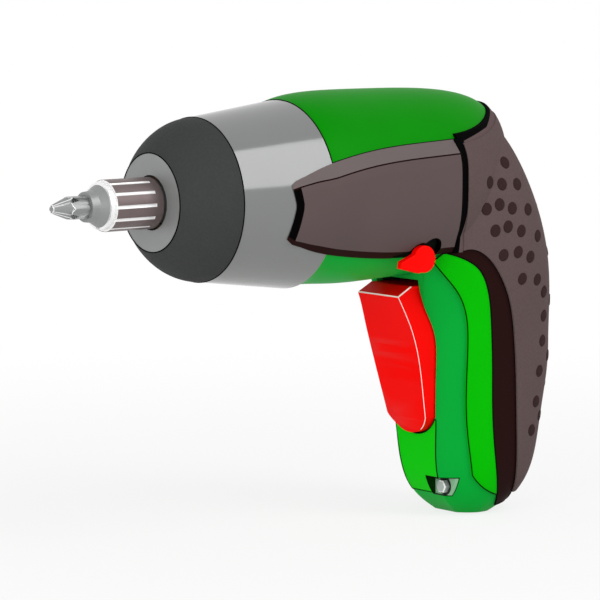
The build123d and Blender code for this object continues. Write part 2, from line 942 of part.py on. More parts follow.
def make_screwdriver_bit():
    tip = socket_mouth - bit_reach
    shoulder = socket_mouth - bit_hex_reach
    corner = hex_across_flats / math.sqrt(3)
    flat = hex_across_flats / 2
    envelope = turned(
        (bit_back, 0),
        (bit_back, flat),
        (bit_back - bit_shoulder, corner),
        (shoulder + bit_shoulder, corner),
        (shoulder, flat),
        (tip, bit_tip_radius),
        (tip, 0),
    )
    bit = bar(hexagon(hex_across_flats), tip, bit_back) & envelope
    return bit - around(bit_flute_count, bit_flute(), 180.0 / bit_flute_count)


# Nose and gear case


def make_nose_plate():
    return tube(0, nose_plate_thickness, nose_plate_radius, nose_hole_radius)


def ring_bore(aft):
    """Radius of the cone on which the nose ring sits."""
    share = (aft - nose_plate_thickness) / (nose_ring_length - nose_plate_thickness)
    rear = case_front_radius - nose_ring_wall
    return nose_plate_radius + share * (rear - nose_plate_radius)


def make_nose_ring():
    outer = nose_ring_rows + ((nose_ring_length, case_front_radius),)
    inner = ((nose_ring_length, ring_bore(nose_ring_length) + seat_gap),
             (nose_plate_thickness, nose_plate_radius + seat_gap), (0, nose_plate_radius + seat_gap))
    bow = Spline(*[(station(a), r) for a, r in outer])
    corners = [(station(a), r) for a, r in (outer[-1],) + inner + (outer[0],)]
    profile = make_face([bow] + list(Polyline(*corners).edges()))
    return revolve(profile, Axis.X)


def make_front_bush():
    return tube(nose_plate_thickness, bush_back, bush_radius - seat_gap, anvil_shaft_radius + running_fit)


def plate_screw_circle():
    return (ring_gear_radius + spigot_radius) / 2


def make_gear_case():
    chamber = ring_gear_radius + seat_gap
    case = turned(
        (nose_plate_thickness, bush_radius),
        (nose_plate_thickness, ring_bore(nose_plate_thickness)),
        (nose_ring_length, ring_bore(nose_ring_length)),
        (nose_ring_length, case_front_radius),
        (joint, barrel_radius),
        (joint, spigot_radius),
        (plate_front, spigot_radius),
        (plate_front, chamber),
        (hammer_front, chamber),
        (bush_back, lug_radius + 2 * face_gap),
        (bush_back, bush_radius),
    )
    depth = plate_screw_length - gearbox_plate_thickness
    hole = rod(plate_front - depth, plate_front, plate_screw_radius, plate_screw_circle())
    return case - around(plate_screw_count, hole, 180.0 / plate_screw_count)


# Impact mechanism


def cam_ball_place(side):
    return Pos(station(cam_ball_aft), 0, side * spindle_radius)


def make_hammer():
    hammer = tube(hammer_front, hammer_back, hammer_radius, spindle_radius + running_fit)
    clear = hammer_spring_wire / 2 + spring_pocket_gap
    pocket = tube(hammer_back - spring_pocket_depth, hammer_back,
                  hammer_spring_radius + clear, hammer_spring_radius - clear)
    dogs = (Circle(lug_radius) - Circle(dog_inner_radius)) & Rectangle(lug_width, 2 * lug_radius)
    hammer = hammer + bar(dogs, hammer_front - dog_length, hammer_front) - pocket
    groove_radius_wide = cam_ball_radius + 2 * running_fit
    groove = rod(hammer_front, cam_ball_aft + groove_radius_wide, groove_radius_wide, 0, spindle_radius)
    return hammer - [groove, Rot(X=180) * groove]


def make_cam_balls():
    ball = Sphere(cam_ball_radius)
    return cam_ball_place(1) * ball + cam_ball_place(-1) * ball


def make_hammer_spring():
    front = hammer_back - spring_pocket_depth
    length = cheek_front - front - 2 * seat_gap
    coil = spring(hammer_spring_radius, hammer_spring_wire, hammer_spring_turns, length)
    return along_axis(coil, cheek_front - seat_gap)


def make_spindle():
    spindle = rod(hammer_front, cheek_front, spindle_radius)
    spindle += rod(lug_back - pilot_length + face_gap, hammer_front, pilot_radius)
    spindle += rod(cheek_front, cheek_back, cheek_radius)
    spindle += rod(rear_cheek_front, rear_cheek_back, cheek_radius)
    spindle += rod(rear_cheek_back, plate_back - face_gap, bearing_bore_radius)
    webs = rod(cheek_back, rear_cheek_front, web_radius, web_circle)
    for web in around(planet_count, webs, 180.0 / planet_count):
        spindle += web
    spindle -= rod(cheek_back, plate_back, hub_bore_radius)
    pocket = Sphere(cam_ball_radius + running_fit)
    spindle -= [cam_ball_place(1) * pocket, cam_ball_place(-1) * pocket]
    pin_hole = rod(cheek_front, rear_cheek_back, planet_pin_radius, carrier_circle)
    return spindle - around(planet_count, pin_hole)


# Planetary gears


def involute_turn(radius, base):
    """Angle that an involute has swung through where it reaches a radius."""
    if radius <= base:
        return 0.0
    roll = math.sqrt((radius / base) ** 2 - 1)
    return roll - math.atan(roll)


def gear_face(teeth, root, tip, thinning):
    """Spur gear outline with one tooth centred on the local x axis."""
    pitch = gear_module * teeth / 2
    base = pitch * math.cos(pressure_angle)
    radii = [root + (tip - root) * k / flank_steps for k in range(flank_steps + 1)]
    widest = math.pi / (2 * teeth) - thinning / (2 * pitch) + involute_turn(pitch, base)
    flank = [(radius, widest - involute_turn(radius, base)) for radius in radii]
    points = []
    for tooth in range(teeth):
        middle = 2 * math.pi * tooth / teeth
        corners = [(radius, middle - turn) for radius, turn in flank]
        corners += [(radius, middle + turn) for radius, turn in reversed(flank)]
        points += [(radius * math.cos(angle), radius * math.sin(angle)) for radius, angle in corners]
    return make_face(Polyline(*points, close=True))


def outer_gear(teeth):
    pitch = gear_module * teeth / 2
    root = pitch - tooth_dedendum * gear_module
    tip = pitch + tooth_addendum * gear_module
    return gear_face(teeth, root, tip, tooth_thinning)


def make_planet_gear(index):
    face = Rot(Z=180.0 / planet_teeth) * outer_gear(planet_teeth) - Circle(planet_pin_radius + running_fit)
    return Rot(X=360.0 * index / planet_count) * bar(face, planet_front, planet_back, carrier_circle)


def make_planet_pins():
    pin = rod(cheek_front, rear_cheek_back, planet_pin_radius, carrier_circle)
    return Compound(children=around(planet_count, pin))


def make_motor_pinion():
    face = outer_gear(sun_teeth) - Circle(motor_shaft_radius)
    return bar(face, planet_front, planet_front + pinion_length)


def make_ring_gear():
    pitch = gear_module * ring_teeth / 2
    root = pitch - tooth_addendum * gear_module
    tip = pitch + tooth_dedendum * gear_module
    space = Rot(Z=180.0 / ring_teeth) * gear_face(ring_teeth, root, tip, -tooth_thinning)
    face = Circle(ring_gear_radius) - space
    return bar(face, planet_front - ring_gear_overlap, planet_back + ring_gear_overlap)


# Gearbox plate and spindle bearing

bearing_back = bearing_front + bearing_width
ball_channel = Pos(station((bearing_front + bearing_back) / 2), bearing_ball_circle) * Circle(
    bearing_ball_radius + running_fit
)


def make_bearing_race(outer, inner):
    return tube(bearing_front, bearing_back, outer, inner) - revolve(ball_channel, Axis.X)


def make_bearing_balls():
    middle = station((bearing_front + bearing_back) / 2)
    ball = Pos(middle, bearing_ball_circle, 0) * Sphere(bearing_ball_radius)
    return Compound(children=around(bearing_ball_count, ball))


def plate_screw():
    """Screw that holds the plate to the gear case, its head sunk in the plate's back."""
    shank = rod(plate_back - plate_screw_length, plate_back, plate_screw_radius, plate_screw_circle())
    head_front = plate_back - 2 * plate_screw_radius
    return shank + rod(head_front, plate_back, plate_screw_head, plate_screw_circle())


def make_gearbox_screws():
    return Compound(children=around(plate_screw_count, plate_screw(), 180.0 / plate_screw_count))


def make_gearbox_plate():
    plate = tube(plate_front, plate_back, spigot_radius, (bearing_inner_radius + bearing_outer_wall) / 2)
    plate -= rod(plate_front, bearing_back, bearing_radius + seat_gap)
    return plate - around(plate_screw_count, plate_screw(), 180.0 / plate_screw_count)


# Motor


def make_motor_can():
    inner = motor_radius - motor_can_wall
    bush = motor_bush_radius + seat_gap
    return turned(
        (plate_back, bush),
        (plate_back, motor_radius),
        (can_back, motor_radius),
        (can_back, inner),
        (plate_back + motor_cap_wall, inner),
        (plate_back + motor_cap_wall, motor_boss_radius),
        (plate_back + motor_boss_length, motor_boss_radius),
        (plate_back + motor_boss_length, bush),
    )


def make_motor_end_cap():
    inner = motor_radius - motor_cap_wall
    bush = motor_bush_radius + seat_gap
    return turned(
        (can_back, inner),
        (can_back, motor_radius),
        (cap_back, motor_radius),
        (cap_back, bush),
        (cap_back - motor_boss_length, bush),
        (cap_back - motor_boss_length, motor_boss_radius),
        (cap_back - motor_cap_wall, motor_boss_radius),
        (cap_back - motor_cap_wall, inner),
    )


def make_motor_bushes():
    bore = motor_shaft_radius + running_fit
    front = tube(plate_back + face_gap, plate_back + motor_boss_length, motor_bush_radius, bore)
    rear = tube(cap_back - motor_boss_length, cap_back - face_gap, motor_bush_radius, bore)
    return Compound(children=[front, rear])


def make_motor_magnets():
    outer = motor_radius - motor_can_wall - seat_gap
    middle = (rotor_front + rotor_back) / 2
    ring = tube(middle - magnet_length / 2, middle + magnet_length / 2, outer, outer - magnet_wall)
    reach = 2 * motor_radius
    spread = reach * math.tan(math.radians(90.0 - magnet_half_angle))
    gap = make_face(Polyline((0, 0), (reach, spread), (reach, -spread), close=True))
    gaps = bar(gap, 0, joint + 2 * far)
    return ring - [gaps, Rot(X=180) * gaps]


def slot_channel(grow):
    """Round channel of one winding slot."""
    return Pos(rotor_slot_circle, 0) * Circle(rotor_slot_radius + grow)


def make_rotor_core():
    mouth = Pos(rotor_radius, 0) * Rectangle(2 * (rotor_radius - rotor_slot_circle), rotor_slot_mouth)
    cut = bar(slot_channel(0.0) + mouth, rotor_front, rotor_back)
    core = tube(rotor_front, rotor_back, rotor_radius, motor_shaft_radius)
    return core - around(rotor_slots, cut)


def make_windings():
    inner = motor_bush_radius
    outer = rotor_radius - winding_setback
    coils = tube(rotor_front - winding_overhang, rotor_front, outer, inner)
    coils += tube(rotor_back, rotor_back + winding_overhang, outer, inner)
    for run in around(rotor_slots, bar(slot_channel(-seat_gap), rotor_front, rotor_back)):
        coils += run
    return coils


def make_commutator():
    back = commutator_front + commutator_length
    ring = tube(commutator_front, back, commutator_radius, motor_shaft_radius)
    slit = Pos(commutator_radius, 0) * Rectangle(commutator_radius, commutator_slit)
    return ring - around(rotor_slots, bar(slit, commutator_front, back))


def make_motor_shaft():
    return rod(planet_front, cap_back - face_gap, motor_shaft_radius)


def make_motor_brushes():
    middle = commutator_front + commutator_length / 2
    reach = commutator_radius + running_fit
    face = Pos(reach + brush_length / 2, 0) * Rectangle(brush_length, brush_size)
    brush = bar(face, middle - brush_size / 2, middle + brush_size / 2)
    return Compound(children=around(2, brush))


# Housing halves


def motor_rib(aft):
    """Wall across the barrel that cradles the motor can."""
    sheet = bar(Rectangle(4 * far, 4 * far), aft, aft + rib_thickness)
    cradle = rod(plate_back, cap_back, motor_radius + seat_gap)
    return (rib_limit & sheet & slab(motor_rib_floor, far)) - cradle


def handle_rib(low, high):
    """Level wall across the handle, behind the trigger's swing."""
    behind = bar(Rectangle(4 * far, 6 * far), switch_front, joint + 2 * far)
    return rib_limit & slab(low, high) & behind


def board_ledge():
    return (rib_limit & slab(board_bottom - rib_thickness, board_bottom)) - handle_form(wall + ledge_width)


def make_housing():
    shell = skin - across(cover_zone) - across(panel_zone) - across(grip_zone)
    shell = shell - across(rim_zone) - across(strip_zone) - seam_block - front_strip_block()
    shell = shell + pad_floor - cavity
    ribs = motor_rib(plate_back + motor_rib_inset) + motor_rib(can_back - motor_rib_inset)
    ribs += handle_rib(switch_top, switch_top + rib_thickness)
    ribs += handle_rib(switch_bottom - rib_thickness, switch_bottom)
    ribs += handle_rib(cell_rib_height, cell_rib_height + rib_thickness)
    ribs = ribs - make_cells(face_gap)
    ribs = ribs - lead_pair(motor_lead_route, seat_gap) - lead_pair(cell_lead_route, seat_gap)
    ribs += board_ledge()
    pin_bosses = side_rod(trigger_pin_aft, trigger_pin_height, -far, far, trigger_boss_radius)
    inside = rib_limit & (notch_block(notch_wall) + screw_bosses() + pin_bosses)
    boss_end = notch_aft + foot_screw_length
    foot_boss = rod(notch_aft, boss_end, foot_screw_radius + boss_wall, foot_screw_side, notch_height)
    shell = shell + ribs + inside + (rib_limit & foot_boss)
    shell -= trigger_slot()
    shell -= rod(joint, plate_back, spigot_radius + seat_gap)
    shell -= notch_block(0.0)
    shell -= screw_holes()
    shell -= make_trigger_pin()
    shell -= make_foot_screw()
    shell -= lever_hole(bezel_collar_radius + seat_gap)
    return shell


pieces = {}

left_panel, right_panel = make_side_panels()
housing = make_housing()
pieces["housing_left"] = left_part(housing)
pieces["housing_right"] = right_part(housing)
pieces["top_cover"] = make_top_cover()
pieces["side_panel_left"] = left_panel
pieces["side_panel_right"] = right_panel
pieces["rear_grip"] = make_rear_grip()
pieces["grip_rims"] = make_trim(rim_zone)
pieces["side_trims"] = make_trim(strip_zone)
pieces["seam_seal"] = make_seam_seal()
pieces["front_strip"] = make_front_strip()
pieces["case_screws"] = make_case_screws()
pieces["foot_plate"] = make_foot_plate()
pieces["foot_screw"] = make_foot_screw()

pieces["nose_plate"] = make_nose_plate()
pieces["nose_ring"] = make_nose_ring()
pieces["gear_case"] = make_gear_case()
pieces["front_bush"] = make_front_bush()

pieces["anvil"] = make_anvil()
pieces["detent_ball"] = make_detent_ball()
pieces["bit_magnet"] = make_bit_magnet()
pieces["sleeve_stop_ring"] = make_sleeve_stop_ring()
pieces["chuck_sleeve"] = make_chuck_sleeve()
pieces["sleeve_spring"] = make_sleeve_spring()
pieces["screwdriver_bit"] = make_screwdriver_bit()

pieces["hammer"] = make_hammer()
pieces["cam_balls"] = make_cam_balls()
pieces["hammer_spring"] = make_hammer_spring()
pieces["spindle"] = make_spindle()
for index in range(planet_count):
    pieces[f"planet_gear_{index + 1}"] = make_planet_gear(index)
pieces["planet_pins"] = make_planet_pins()
pieces["ring_gear"] = make_ring_gear()
pieces["gearbox_plate"] = make_gearbox_plate()
pieces["gearbox_screws"] = make_gearbox_screws()
pieces["bearing_outer_race"] = make_bearing_race(bearing_radius, bearing_outer_wall)
pieces["bearing_inner_race"] = make_bearing_race(bearing_inner_radius, bearing_bore_radius)
pieces["bearing_balls"] = make_bearing_balls()

pieces["motor_pinion"] = make_motor_pinion()
pieces["motor_shaft"] = make_motor_shaft()
pieces["rotor_core"] = make_rotor_core()
pieces["windings"] = make_windings()
pieces["commutator"] = make_commutator()
pieces["motor_can"] = make_motor_can()
pieces["motor_magnets"] = make_motor_magnets()
pieces["motor_end_cap"] = make_motor_end_cap()
pieces["motor_bushes"] = make_motor_bushes()
pieces["motor_brushes"] = make_motor_brushes()

pieces["trigger"] = make_trigger()
pieces["trigger_pin"] = make_trigger_pin()
pieces["trigger_spring"] = make_trigger_spring()
pieces["switch_body"] = make_switch_body()
pieces["switch_plunger"] = make_switch_plunger()
pieces["reversing_lever"] = make_reversing_lever()
pieces["lever_bezel"] = make_lever_bezel()
pieces["reversing_switch"] = make_reversing_switch()
pieces["cells"] = make_cells()
pieces["cell_tabs"] = make_cell_tabs()
pieces["control_board"] = make_control_board()
pieces["leads"] = lead_pair(motor_lead_route) + lead_pair(cell_lead_route)

os.makedirs("parts", exist_ok=True)
for name, piece in pieces.items():
    export_step(piece, f"parts/{name}.step")
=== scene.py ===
import json
import math

import bpy
from mathutils import Matrix, Vector

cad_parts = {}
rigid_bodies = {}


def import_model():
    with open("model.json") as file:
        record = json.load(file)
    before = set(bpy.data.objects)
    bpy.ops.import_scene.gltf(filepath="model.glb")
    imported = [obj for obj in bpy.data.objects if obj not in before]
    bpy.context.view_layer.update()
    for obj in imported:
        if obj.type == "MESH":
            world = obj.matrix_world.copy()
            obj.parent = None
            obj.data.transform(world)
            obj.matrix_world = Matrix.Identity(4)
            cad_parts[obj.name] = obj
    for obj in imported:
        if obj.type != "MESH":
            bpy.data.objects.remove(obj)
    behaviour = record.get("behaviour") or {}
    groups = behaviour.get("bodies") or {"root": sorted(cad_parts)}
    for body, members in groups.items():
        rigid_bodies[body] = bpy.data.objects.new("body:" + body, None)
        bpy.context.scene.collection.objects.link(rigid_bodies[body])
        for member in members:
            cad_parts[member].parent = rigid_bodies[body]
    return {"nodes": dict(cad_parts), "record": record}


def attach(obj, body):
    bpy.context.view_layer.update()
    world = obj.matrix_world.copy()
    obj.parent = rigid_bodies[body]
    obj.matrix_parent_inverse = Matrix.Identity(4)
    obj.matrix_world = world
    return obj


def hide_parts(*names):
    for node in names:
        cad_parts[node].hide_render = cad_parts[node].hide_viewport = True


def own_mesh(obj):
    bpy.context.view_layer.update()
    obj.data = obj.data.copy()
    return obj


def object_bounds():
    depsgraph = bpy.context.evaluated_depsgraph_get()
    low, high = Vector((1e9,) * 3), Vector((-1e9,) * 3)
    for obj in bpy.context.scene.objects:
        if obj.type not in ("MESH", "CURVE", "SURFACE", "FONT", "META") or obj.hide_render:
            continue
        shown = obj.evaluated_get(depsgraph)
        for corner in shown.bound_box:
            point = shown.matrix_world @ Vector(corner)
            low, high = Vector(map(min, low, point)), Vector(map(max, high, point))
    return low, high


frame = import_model()
cad_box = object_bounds()

# Sizes and places are in millimetres where nothing else is said, and MM turns them into metres
MM = 0.001

# The photograph's view: angles in degrees, distance and aim in metres, places in the picture in pixels
AZIMUTH = 142.18
ELEVATION = 6.42
DISTANCE = 1.2428
AIM = Vector((-0.095, 0.0, -0.030))
AIM_PIXEL = (342.68, 288.70)
FOCAL_PIXELS = 4104.0
FRAME_PIXELS = 600
SENSOR = 36.0

# The nose face, in metres along the spindle axis: places along the body are distances aft of it
NOSE_FACE = -0.0235

# Where rays that look for a surface start, in metres: beside a flank and behind the back
FLANK_RAY_START = 0.06
BACK_RAY_START = -0.25

# How far a surface's direction has to lie along another one to count as facing it
SQUARELY = 0.9
MOSTLY = 0.5
PARTLY = 0.4
BARELY = 0.3

# Angles in degrees: above which an edge is sharp, also on the bit, and under which two faces lie flat
SHARP = 35.0
BIT_SHARP = 25.0
FLAT_WITHIN = 0.3
# Corners of a mesh that lie nearer than this are one
MERGE_DISTANCE = 0.002

# Side panels: height and distance aft of the front edge's corners, the even columns from first to last,
# the rows of the plain face, and the wall
PANEL_FRONT = ((-11.0, 31.6), (-1.0, 33.4), (5.2, 32.0))
PANEL_FIRST_COLUMN = 34.6
PANEL_LAST_COLUMN = 93.8
PANEL_COLUMNS = 25
PANEL_ROWS = 11
PANEL_THICKNESS = 1.2
# The panels' long bevels: where they start, and each one's width there, its growth aft and its limit
BEVEL_START = 32.0
LOW_BEVEL = (1.0, 0.1, 2.1)
TOP_BEVEL = (1.2, 0.2, 4.0)
# The panels' front bevel, how far their edges drop, and the width and depth of the groove near the top
PANEL_END_BEVEL = 1.9
PANEL_DROP = 1.1
PANEL_LINE = 0.22
PANEL_LINE_DEPTH = 0.25
# How the panels' edges are found: a height and a rear place on them, how far to look from each, how far
# from the rear corners, and in how many steps
PANEL_MIDDLE = -2.0
PANEL_HALF_HEIGHT = 30.0
PANEL_NEAR_REAR = 92.0
PANEL_REAR_REACH = 8.0
REAR_CORNER = 0.4
EDGE_STEPS = 14
# The skin is measured a little inside an edge, and further inside where that misses the panel
EDGE_INSET = 0.3
SECOND_INSET = 0.6
SECOND_HEIGHT_SHARE = 0.97
FRONT_COLUMNS = 3

# Reversing lever: its pivot's distance aft and height, its middle's distance aft, sideways and height,
# its swing in degrees, and how much its form grows along, across and up to be the room for it
LEVER_PIVOT = (85.0, -18.7)
LEVER_MIDDLE = (80.4, 24.3, -19.8)
LEVER_SWING = 7.0
LEVER_ROOM = (1.07, 6.0, 1.11)
# The lever's pocket: its distance aft and height, its radius, and the cutter's depth and place sideways
LEVER_POCKET = (87.5, -18.0)
POCKET_RADIUS = 4.3
POCKET_DEPTH = 20.0
POCKET_SIDE = 25.0
POCKET_FACETS = 64
# The floor of the pocket, painted black as painted shade: how far it goes past the rim, its lowest place
# and the softness of its edge
POCKET_MARGIN = 1.4
POCKET_LOW = -19.9
POCKET_SOFTNESS = 0.1

# Radius of the black beads that paint the shade in the shut lines, and widths of the bevels along edges
SHUT_LINE = 0.2
LEVER_EDGE = 0.35
TRIGGER_TOP_EDGE = 0.3
TRIGGER_FRONT_EDGE = 0.15
BIT_EDGE = 0.11
SCREW_EDGE = 0.3
# The trigger's top edges carry a painted highlight up to this far aft, and the bit's edges in front of
# this place along the spindle axis
TRIGGER_TOP_REAR = 96.0
BIT_SHOWN = 1.5
# How far under the lands of the sleeve its flutes are fully bright as painted highlight, and where that
# starts
FLUTE_HIGHLIGHT = (0.22, 0.06)

# Where the grip laps over the black seal: a place on each part of the lap's edge, as distance aft and
# height, and the edge's rise there
GRIP_LAPS = ((98.29, 14.89, 0.2525), (112.11, 18.38, 0.583))
SEAL_CORNER = 98.9
LAP_SOFTNESS = 0.1

# The notch in the handle's foot, along, across and up, painted darker inside as painted shade, and the
# ring of painted shadow about the foot screw: sideways, height, radius
FOOT_NOTCH = ((-131.0, -117.0), (2.0, 20.0), (-96.1, -89.6))
NOTCH_SOFTNESS = 0.2
SCREW_SHADOW_RING = (7.0, -92.85, 3.0)
SHADOW_RING_SOFTNESS = 0.15

# Heights between which the cells' wrap gives way to bare metal
CELL_BARE = (-34.5, -34.0)

# Studs on each flank of the grip: distance aft, height
FLANK_STUDS = (
    (116.8, 7.5),
    (108.8, 2.0), (114.0, 1.2), (120.6, 0.8),
    (107.6, -6.1), (112.4, -4.9), (117.5, -6.3), (124.8, -7.1),
    (110.8, -12.8), (115.7, -11.8), (121.4, -13.5), (129.7, -15.6),
    (114.5, -20.5), (120.4, -19.9), (126.1, -21.8),
    (123.1, -28.4), (130.3, -29.2),
    (134.6, -33.4), (135.5, -41.0), (135.5, -48.8), (134.5, -58.2), (133.7, -67.7), (132.1, -76.6),
)
# Studs on the grip's back: heights, and distances from the middle plane in every other row
BACK_STUD_HEIGHTS = (0.9, -6.4, -13.9, -21.2, -29.0, -36.7, -45.4, -54.0, -63.3, -72.6)
BACK_STUD_SIDES = ((0.0, 11.0), (5.5, 15.5))
# A stud's size, how far it stands out of the grip, and the least that is worth a stud
STUD_RADIUS = 2.05
STUD_HEIGHT = 0.9
STUD_PROUD = 0.28
STUD_LEAST = 0.02
STUD_FACETS = 20
# Shares of a stud's radius: its rounding, and where the grip under it is felt for
STUD_ROUNDING = 0.35
STUD_SEAT = 0.8

# Floor, in metres: its size and how far it lies under the object
FLOOR_SIZE = 8.0
FLOOR_GAP = 0.0003
FLOOR_GREY = (0.9, 0.9, 0.9, 1.0)
# The floor's shadow: its middle along the spindle axis and where it fades, in metres, and its whiteness
SHADOW_MIDDLE = -0.12
SHADOW_FADE = (0.08, 0.45)
SHADOW_WHITE = 0.8

# How strongly the surroundings light the object, where 1 is how they show
AMBIENT = 0.54

# Colours that more than one finish shares
GRIP_BROWN = "605050"
RIM_BROWN = "24100f"
# The darker green painted as shade in the foot notch
NOTCH_SHADE_GREEN = "063807"
PLAIN_STEEL = "8d8f8e"
BRIGHT_STEEL = "f4f4f4"

# Pebbles of the rubber: their size and depth
PEBBLE_SIZE = 0.75
PEBBLE_DEPTH = 0.06


def station(aft):
    """Place along the spindle axis, in metres, at a distance aft of the nose face."""
    return NOSE_FACE - aft * MM


# Surfaces


def srgb(code):
    """Linear colour from a hex code."""
    parts = [int(code[k:k + 2], 16) / 255 for k in (0, 2, 4)]
    linear = [c / 12.92 if c <= 0.04045 else ((c + 0.055) / 1.055) ** 2.4 for c in parts]
    return (*linear, 1.0)


def tint(colour, factor):
    """A colour made lighter or darker."""
    return (*[min(c * factor, 1.0) for c in colour[:3]], 1.0)


class Field:
    """A value that changes over a surface: operators add Math nodes, node() adds any other."""

    def __init__(self, tree, socket):
        self.tree = tree
        self.socket = socket

    def node(self, kind, settings, inputs, output=0):
        """Adds a node with its settings and the values or links of its sockets, and gives one output."""
        made = self.tree.nodes.new(kind)
        for name, value in settings.items():
            setattr(made, name, value)
        for name, value in inputs.items():
            if isinstance(value, Field):
                self.tree.links.new(value.socket, made.inputs[name])
            else:
                made.inputs[name].default_value = value
        return Field(self.tree, made.outputs[output])

    def math(self, operation, first, second=0.0):
        """Adds a Math node for one or two values."""
        return self.node("ShaderNodeMath", {"operation": operation}, {0: first, 1: second})

    def __add__(self, other):
        return self.math("ADD", self, other)

    def __radd__(self, other):
        return self.math("ADD", other, self)

    def __sub__(self, other):
        return self.math("SUBTRACT", self, other)

    def __rsub__(self, other):
        return self.math("SUBTRACT", other, self)

    def __mul__(self, other):
        return self.math("MULTIPLY", self, other)

    def __rmul__(self, other):
        return self.math("MULTIPLY", other, self)

    def __pow__(self, other):
        return self.math("POWER", self, other)

    def ramp(self, low, high):
        """0 below low, 1 above high, smooth between."""
        return self.node(
            "ShaderNodeMapRange", {"interpolation_type": "SMOOTHSTEP"},
            {"Value": self, "From Min": low, "From Max": high},
        )

    def fall(self, low, high):
        """1 below low, 0 above high, smooth between."""
        return 1.0 - self.ramp(low, high)

    def within(self, low, high, soft):
        """1 between low and high, 0 outside."""
        return self.ramp(low, low + soft) * self.fall(high - soft, high)

    def blend(self, under, over):
        """A colour, from under where this value is 0 to over where it is 1."""
        return self.node("ShaderNodeMix", {"data_type": "RGBA"}, {0: self, 6: under, 7: over}, 2)

    def vary(self, colour, share):
        """A colour, darker by a share where this value is 0 and lighter by it where it is 1."""
        return self.blend(tint(colour, 1.0 - share), tint(colour, 1.0 + share))

    def axis(self, index):
        """One part of a vector."""
        return self.node("ShaderNodeSeparateXYZ", {}, {0: self}, index)

    def stretch(self, factors):
        """A place scaled along each axis: a factor under 1 draws a pattern out."""
        return self.node("ShaderNodeMapping", {}, {"Vector": self, "Scale": factors})

    def noise(self, size, detail=2.0, roughness=0.5):
        """Soft noise whose lumps are about a size across."""
        return self.node(
            "ShaderNodeTexNoise", {},
            {"Vector": self, "Scale": 1.0 / (size * MM), "Detail": detail, "Roughness": roughness},
        )

    def cells(self, size):
        """Distance to the nearest of points that are about a size apart."""
        return self.node("ShaderNodeTexVoronoi", {}, {"Vector": self, "Scale": 1.0 / (size * MM)})

    def turned_place(self):
        """Place along the spindle axis and distance from it, as a vector."""
        radius = distance(self.axis(1), self.axis(2))
        return self.node("ShaderNodeCombineXYZ", {}, {0: self.axis(0), 1: radius})


def distance(first, second):
    """Length across two directions at right angles."""
    return (first * first + second * second) ** 0.5


def surface(name):
    """A new material and the place of a point on it, in object coordinates."""
    material = bpy.data.materials.new(name)
    material.use_nodes = True
    coordinates = material.node_tree.nodes.new("ShaderNodeTexCoord")
    return material, Field(material.node_tree, coordinates.outputs["Object"])


def dress(material, constants, changing, height, depth):
    """Sets the shader's plain sockets, links the changing ones and adds a bump of a depth."""
    tree = material.node_tree
    shader = tree.nodes["Principled BSDF"]
    for name, value in constants.items():
        shader.inputs[name].default_value = value
    bump = height.node("ShaderNodeBump", {}, {"Height": height, "Distance": depth * MM, "Strength": 1.0})
    for name, value in {**changing, "Normal": bump}.items():
        tree.links.new(value.socket, shader.inputs[name])
    return material


def foot_notch(place):
    """1 in the notch at the handle's foot, where darker green is painted as shade."""
    along, across, up = [
        place.axis(k).within(low * MM, high * MM, NOTCH_SOFTNESS * MM)
        for k, (low, high) in enumerate(FOOT_NOTCH)
    ]
    return along * across * up


def pocket_floor(place):
    """1 on the floor of the lever's pocket, on the left side, where black is painted as shade."""
    x = place.axis(0) - station(LEVER_POCKET[0])
    z = place.axis(2) - LEVER_POCKET[1] * MM
    rim = POCKET_RADIUS + POCKET_MARGIN
    inside = distance(x, z).fall(rim * MM, (rim + POCKET_SOFTNESS) * MM)
    left = place.axis(1).ramp(0.0, MM)
    above = place.axis(2).ramp(POCKET_LOW * MM, (POCKET_LOW + POCKET_SOFTNESS) * MM)
    return inside * left * above


def moulded_plastic(name, code, roughness, shine=0.05, notch_shade_code=None, pocket_shade_code=None):
    """Spark-eroded plastic: fine grain, slow drift of tone and a few pale scuffs.

    The foot notch and the floor of the lever's pocket may be painted darker, as painted shade in these
    recesses.
    """
    material, place = surface(name)
    colour = srgb(code)
    grain = place.noise(0.45, detail=3.0)
    scuffs = place.stretch((0.12, 1.0, 0.5)).noise(1.6, detail=4.0, roughness=0.65).ramp(0.66, 0.78)
    patches = place.noise(26.0, detail=1.0).ramp(0.5, 0.7)
    wear_and_highlight = scuffs * patches
    base = place.noise(18.0).vary(colour, 0.06)
    base = (wear_and_highlight * 0.15).blend(base, tint(colour, 1.5))
    # Painted shade: darker in the foot notch and black on the floor of the lever's pocket
    if notch_shade_code:
        base = foot_notch(place).blend(base, srgb(notch_shade_code))
    if pocket_shade_code:
        base = pocket_floor(place).blend(base, srgb(pocket_shade_code))
    rough = roughness + 0.10 * grain + 0.12 * wear_and_highlight - 0.05
    return dress(
        material, {"Specular IOR Level": shine, "IOR": 1.46},
        {"Base Color": base, "Roughness": rough}, grain, depth=0.035,
    )


def soft_rubber(name, code, roughness=0.72, shine=0.06):
    """Pebbled grip rubber, darker between its pebbles and dusty in patches."""
    material, place = surface(name)
    colour = srgb(code)
    pebbles = place.cells(PEBBLE_SIZE)
    dust = place.noise(4.0, detail=4.0, roughness=0.6).ramp(0.55, 0.8)
    base = place.noise(22.0, detail=3.0).vary(colour, 0.07)
    base = (pebbles.ramp(0.1, 0.7) * 0.22).blend(base, tint(colour, 0.7))
    base = (dust * 0.10).blend(base, tint(colour, 1.5))
    return dress(
        material, {"Specular IOR Level": shine},
        {"Base Color": base, "Roughness": roughness + 0.12 * pebbles}, 1.0 - pebbles, PEBBLE_DEPTH,
    )


def slanted(aft, start_aft, start_height, rise):
    """Height of a straight edge at a distance aft."""
    return (aft - start_aft * MM) * rise + start_height * MM


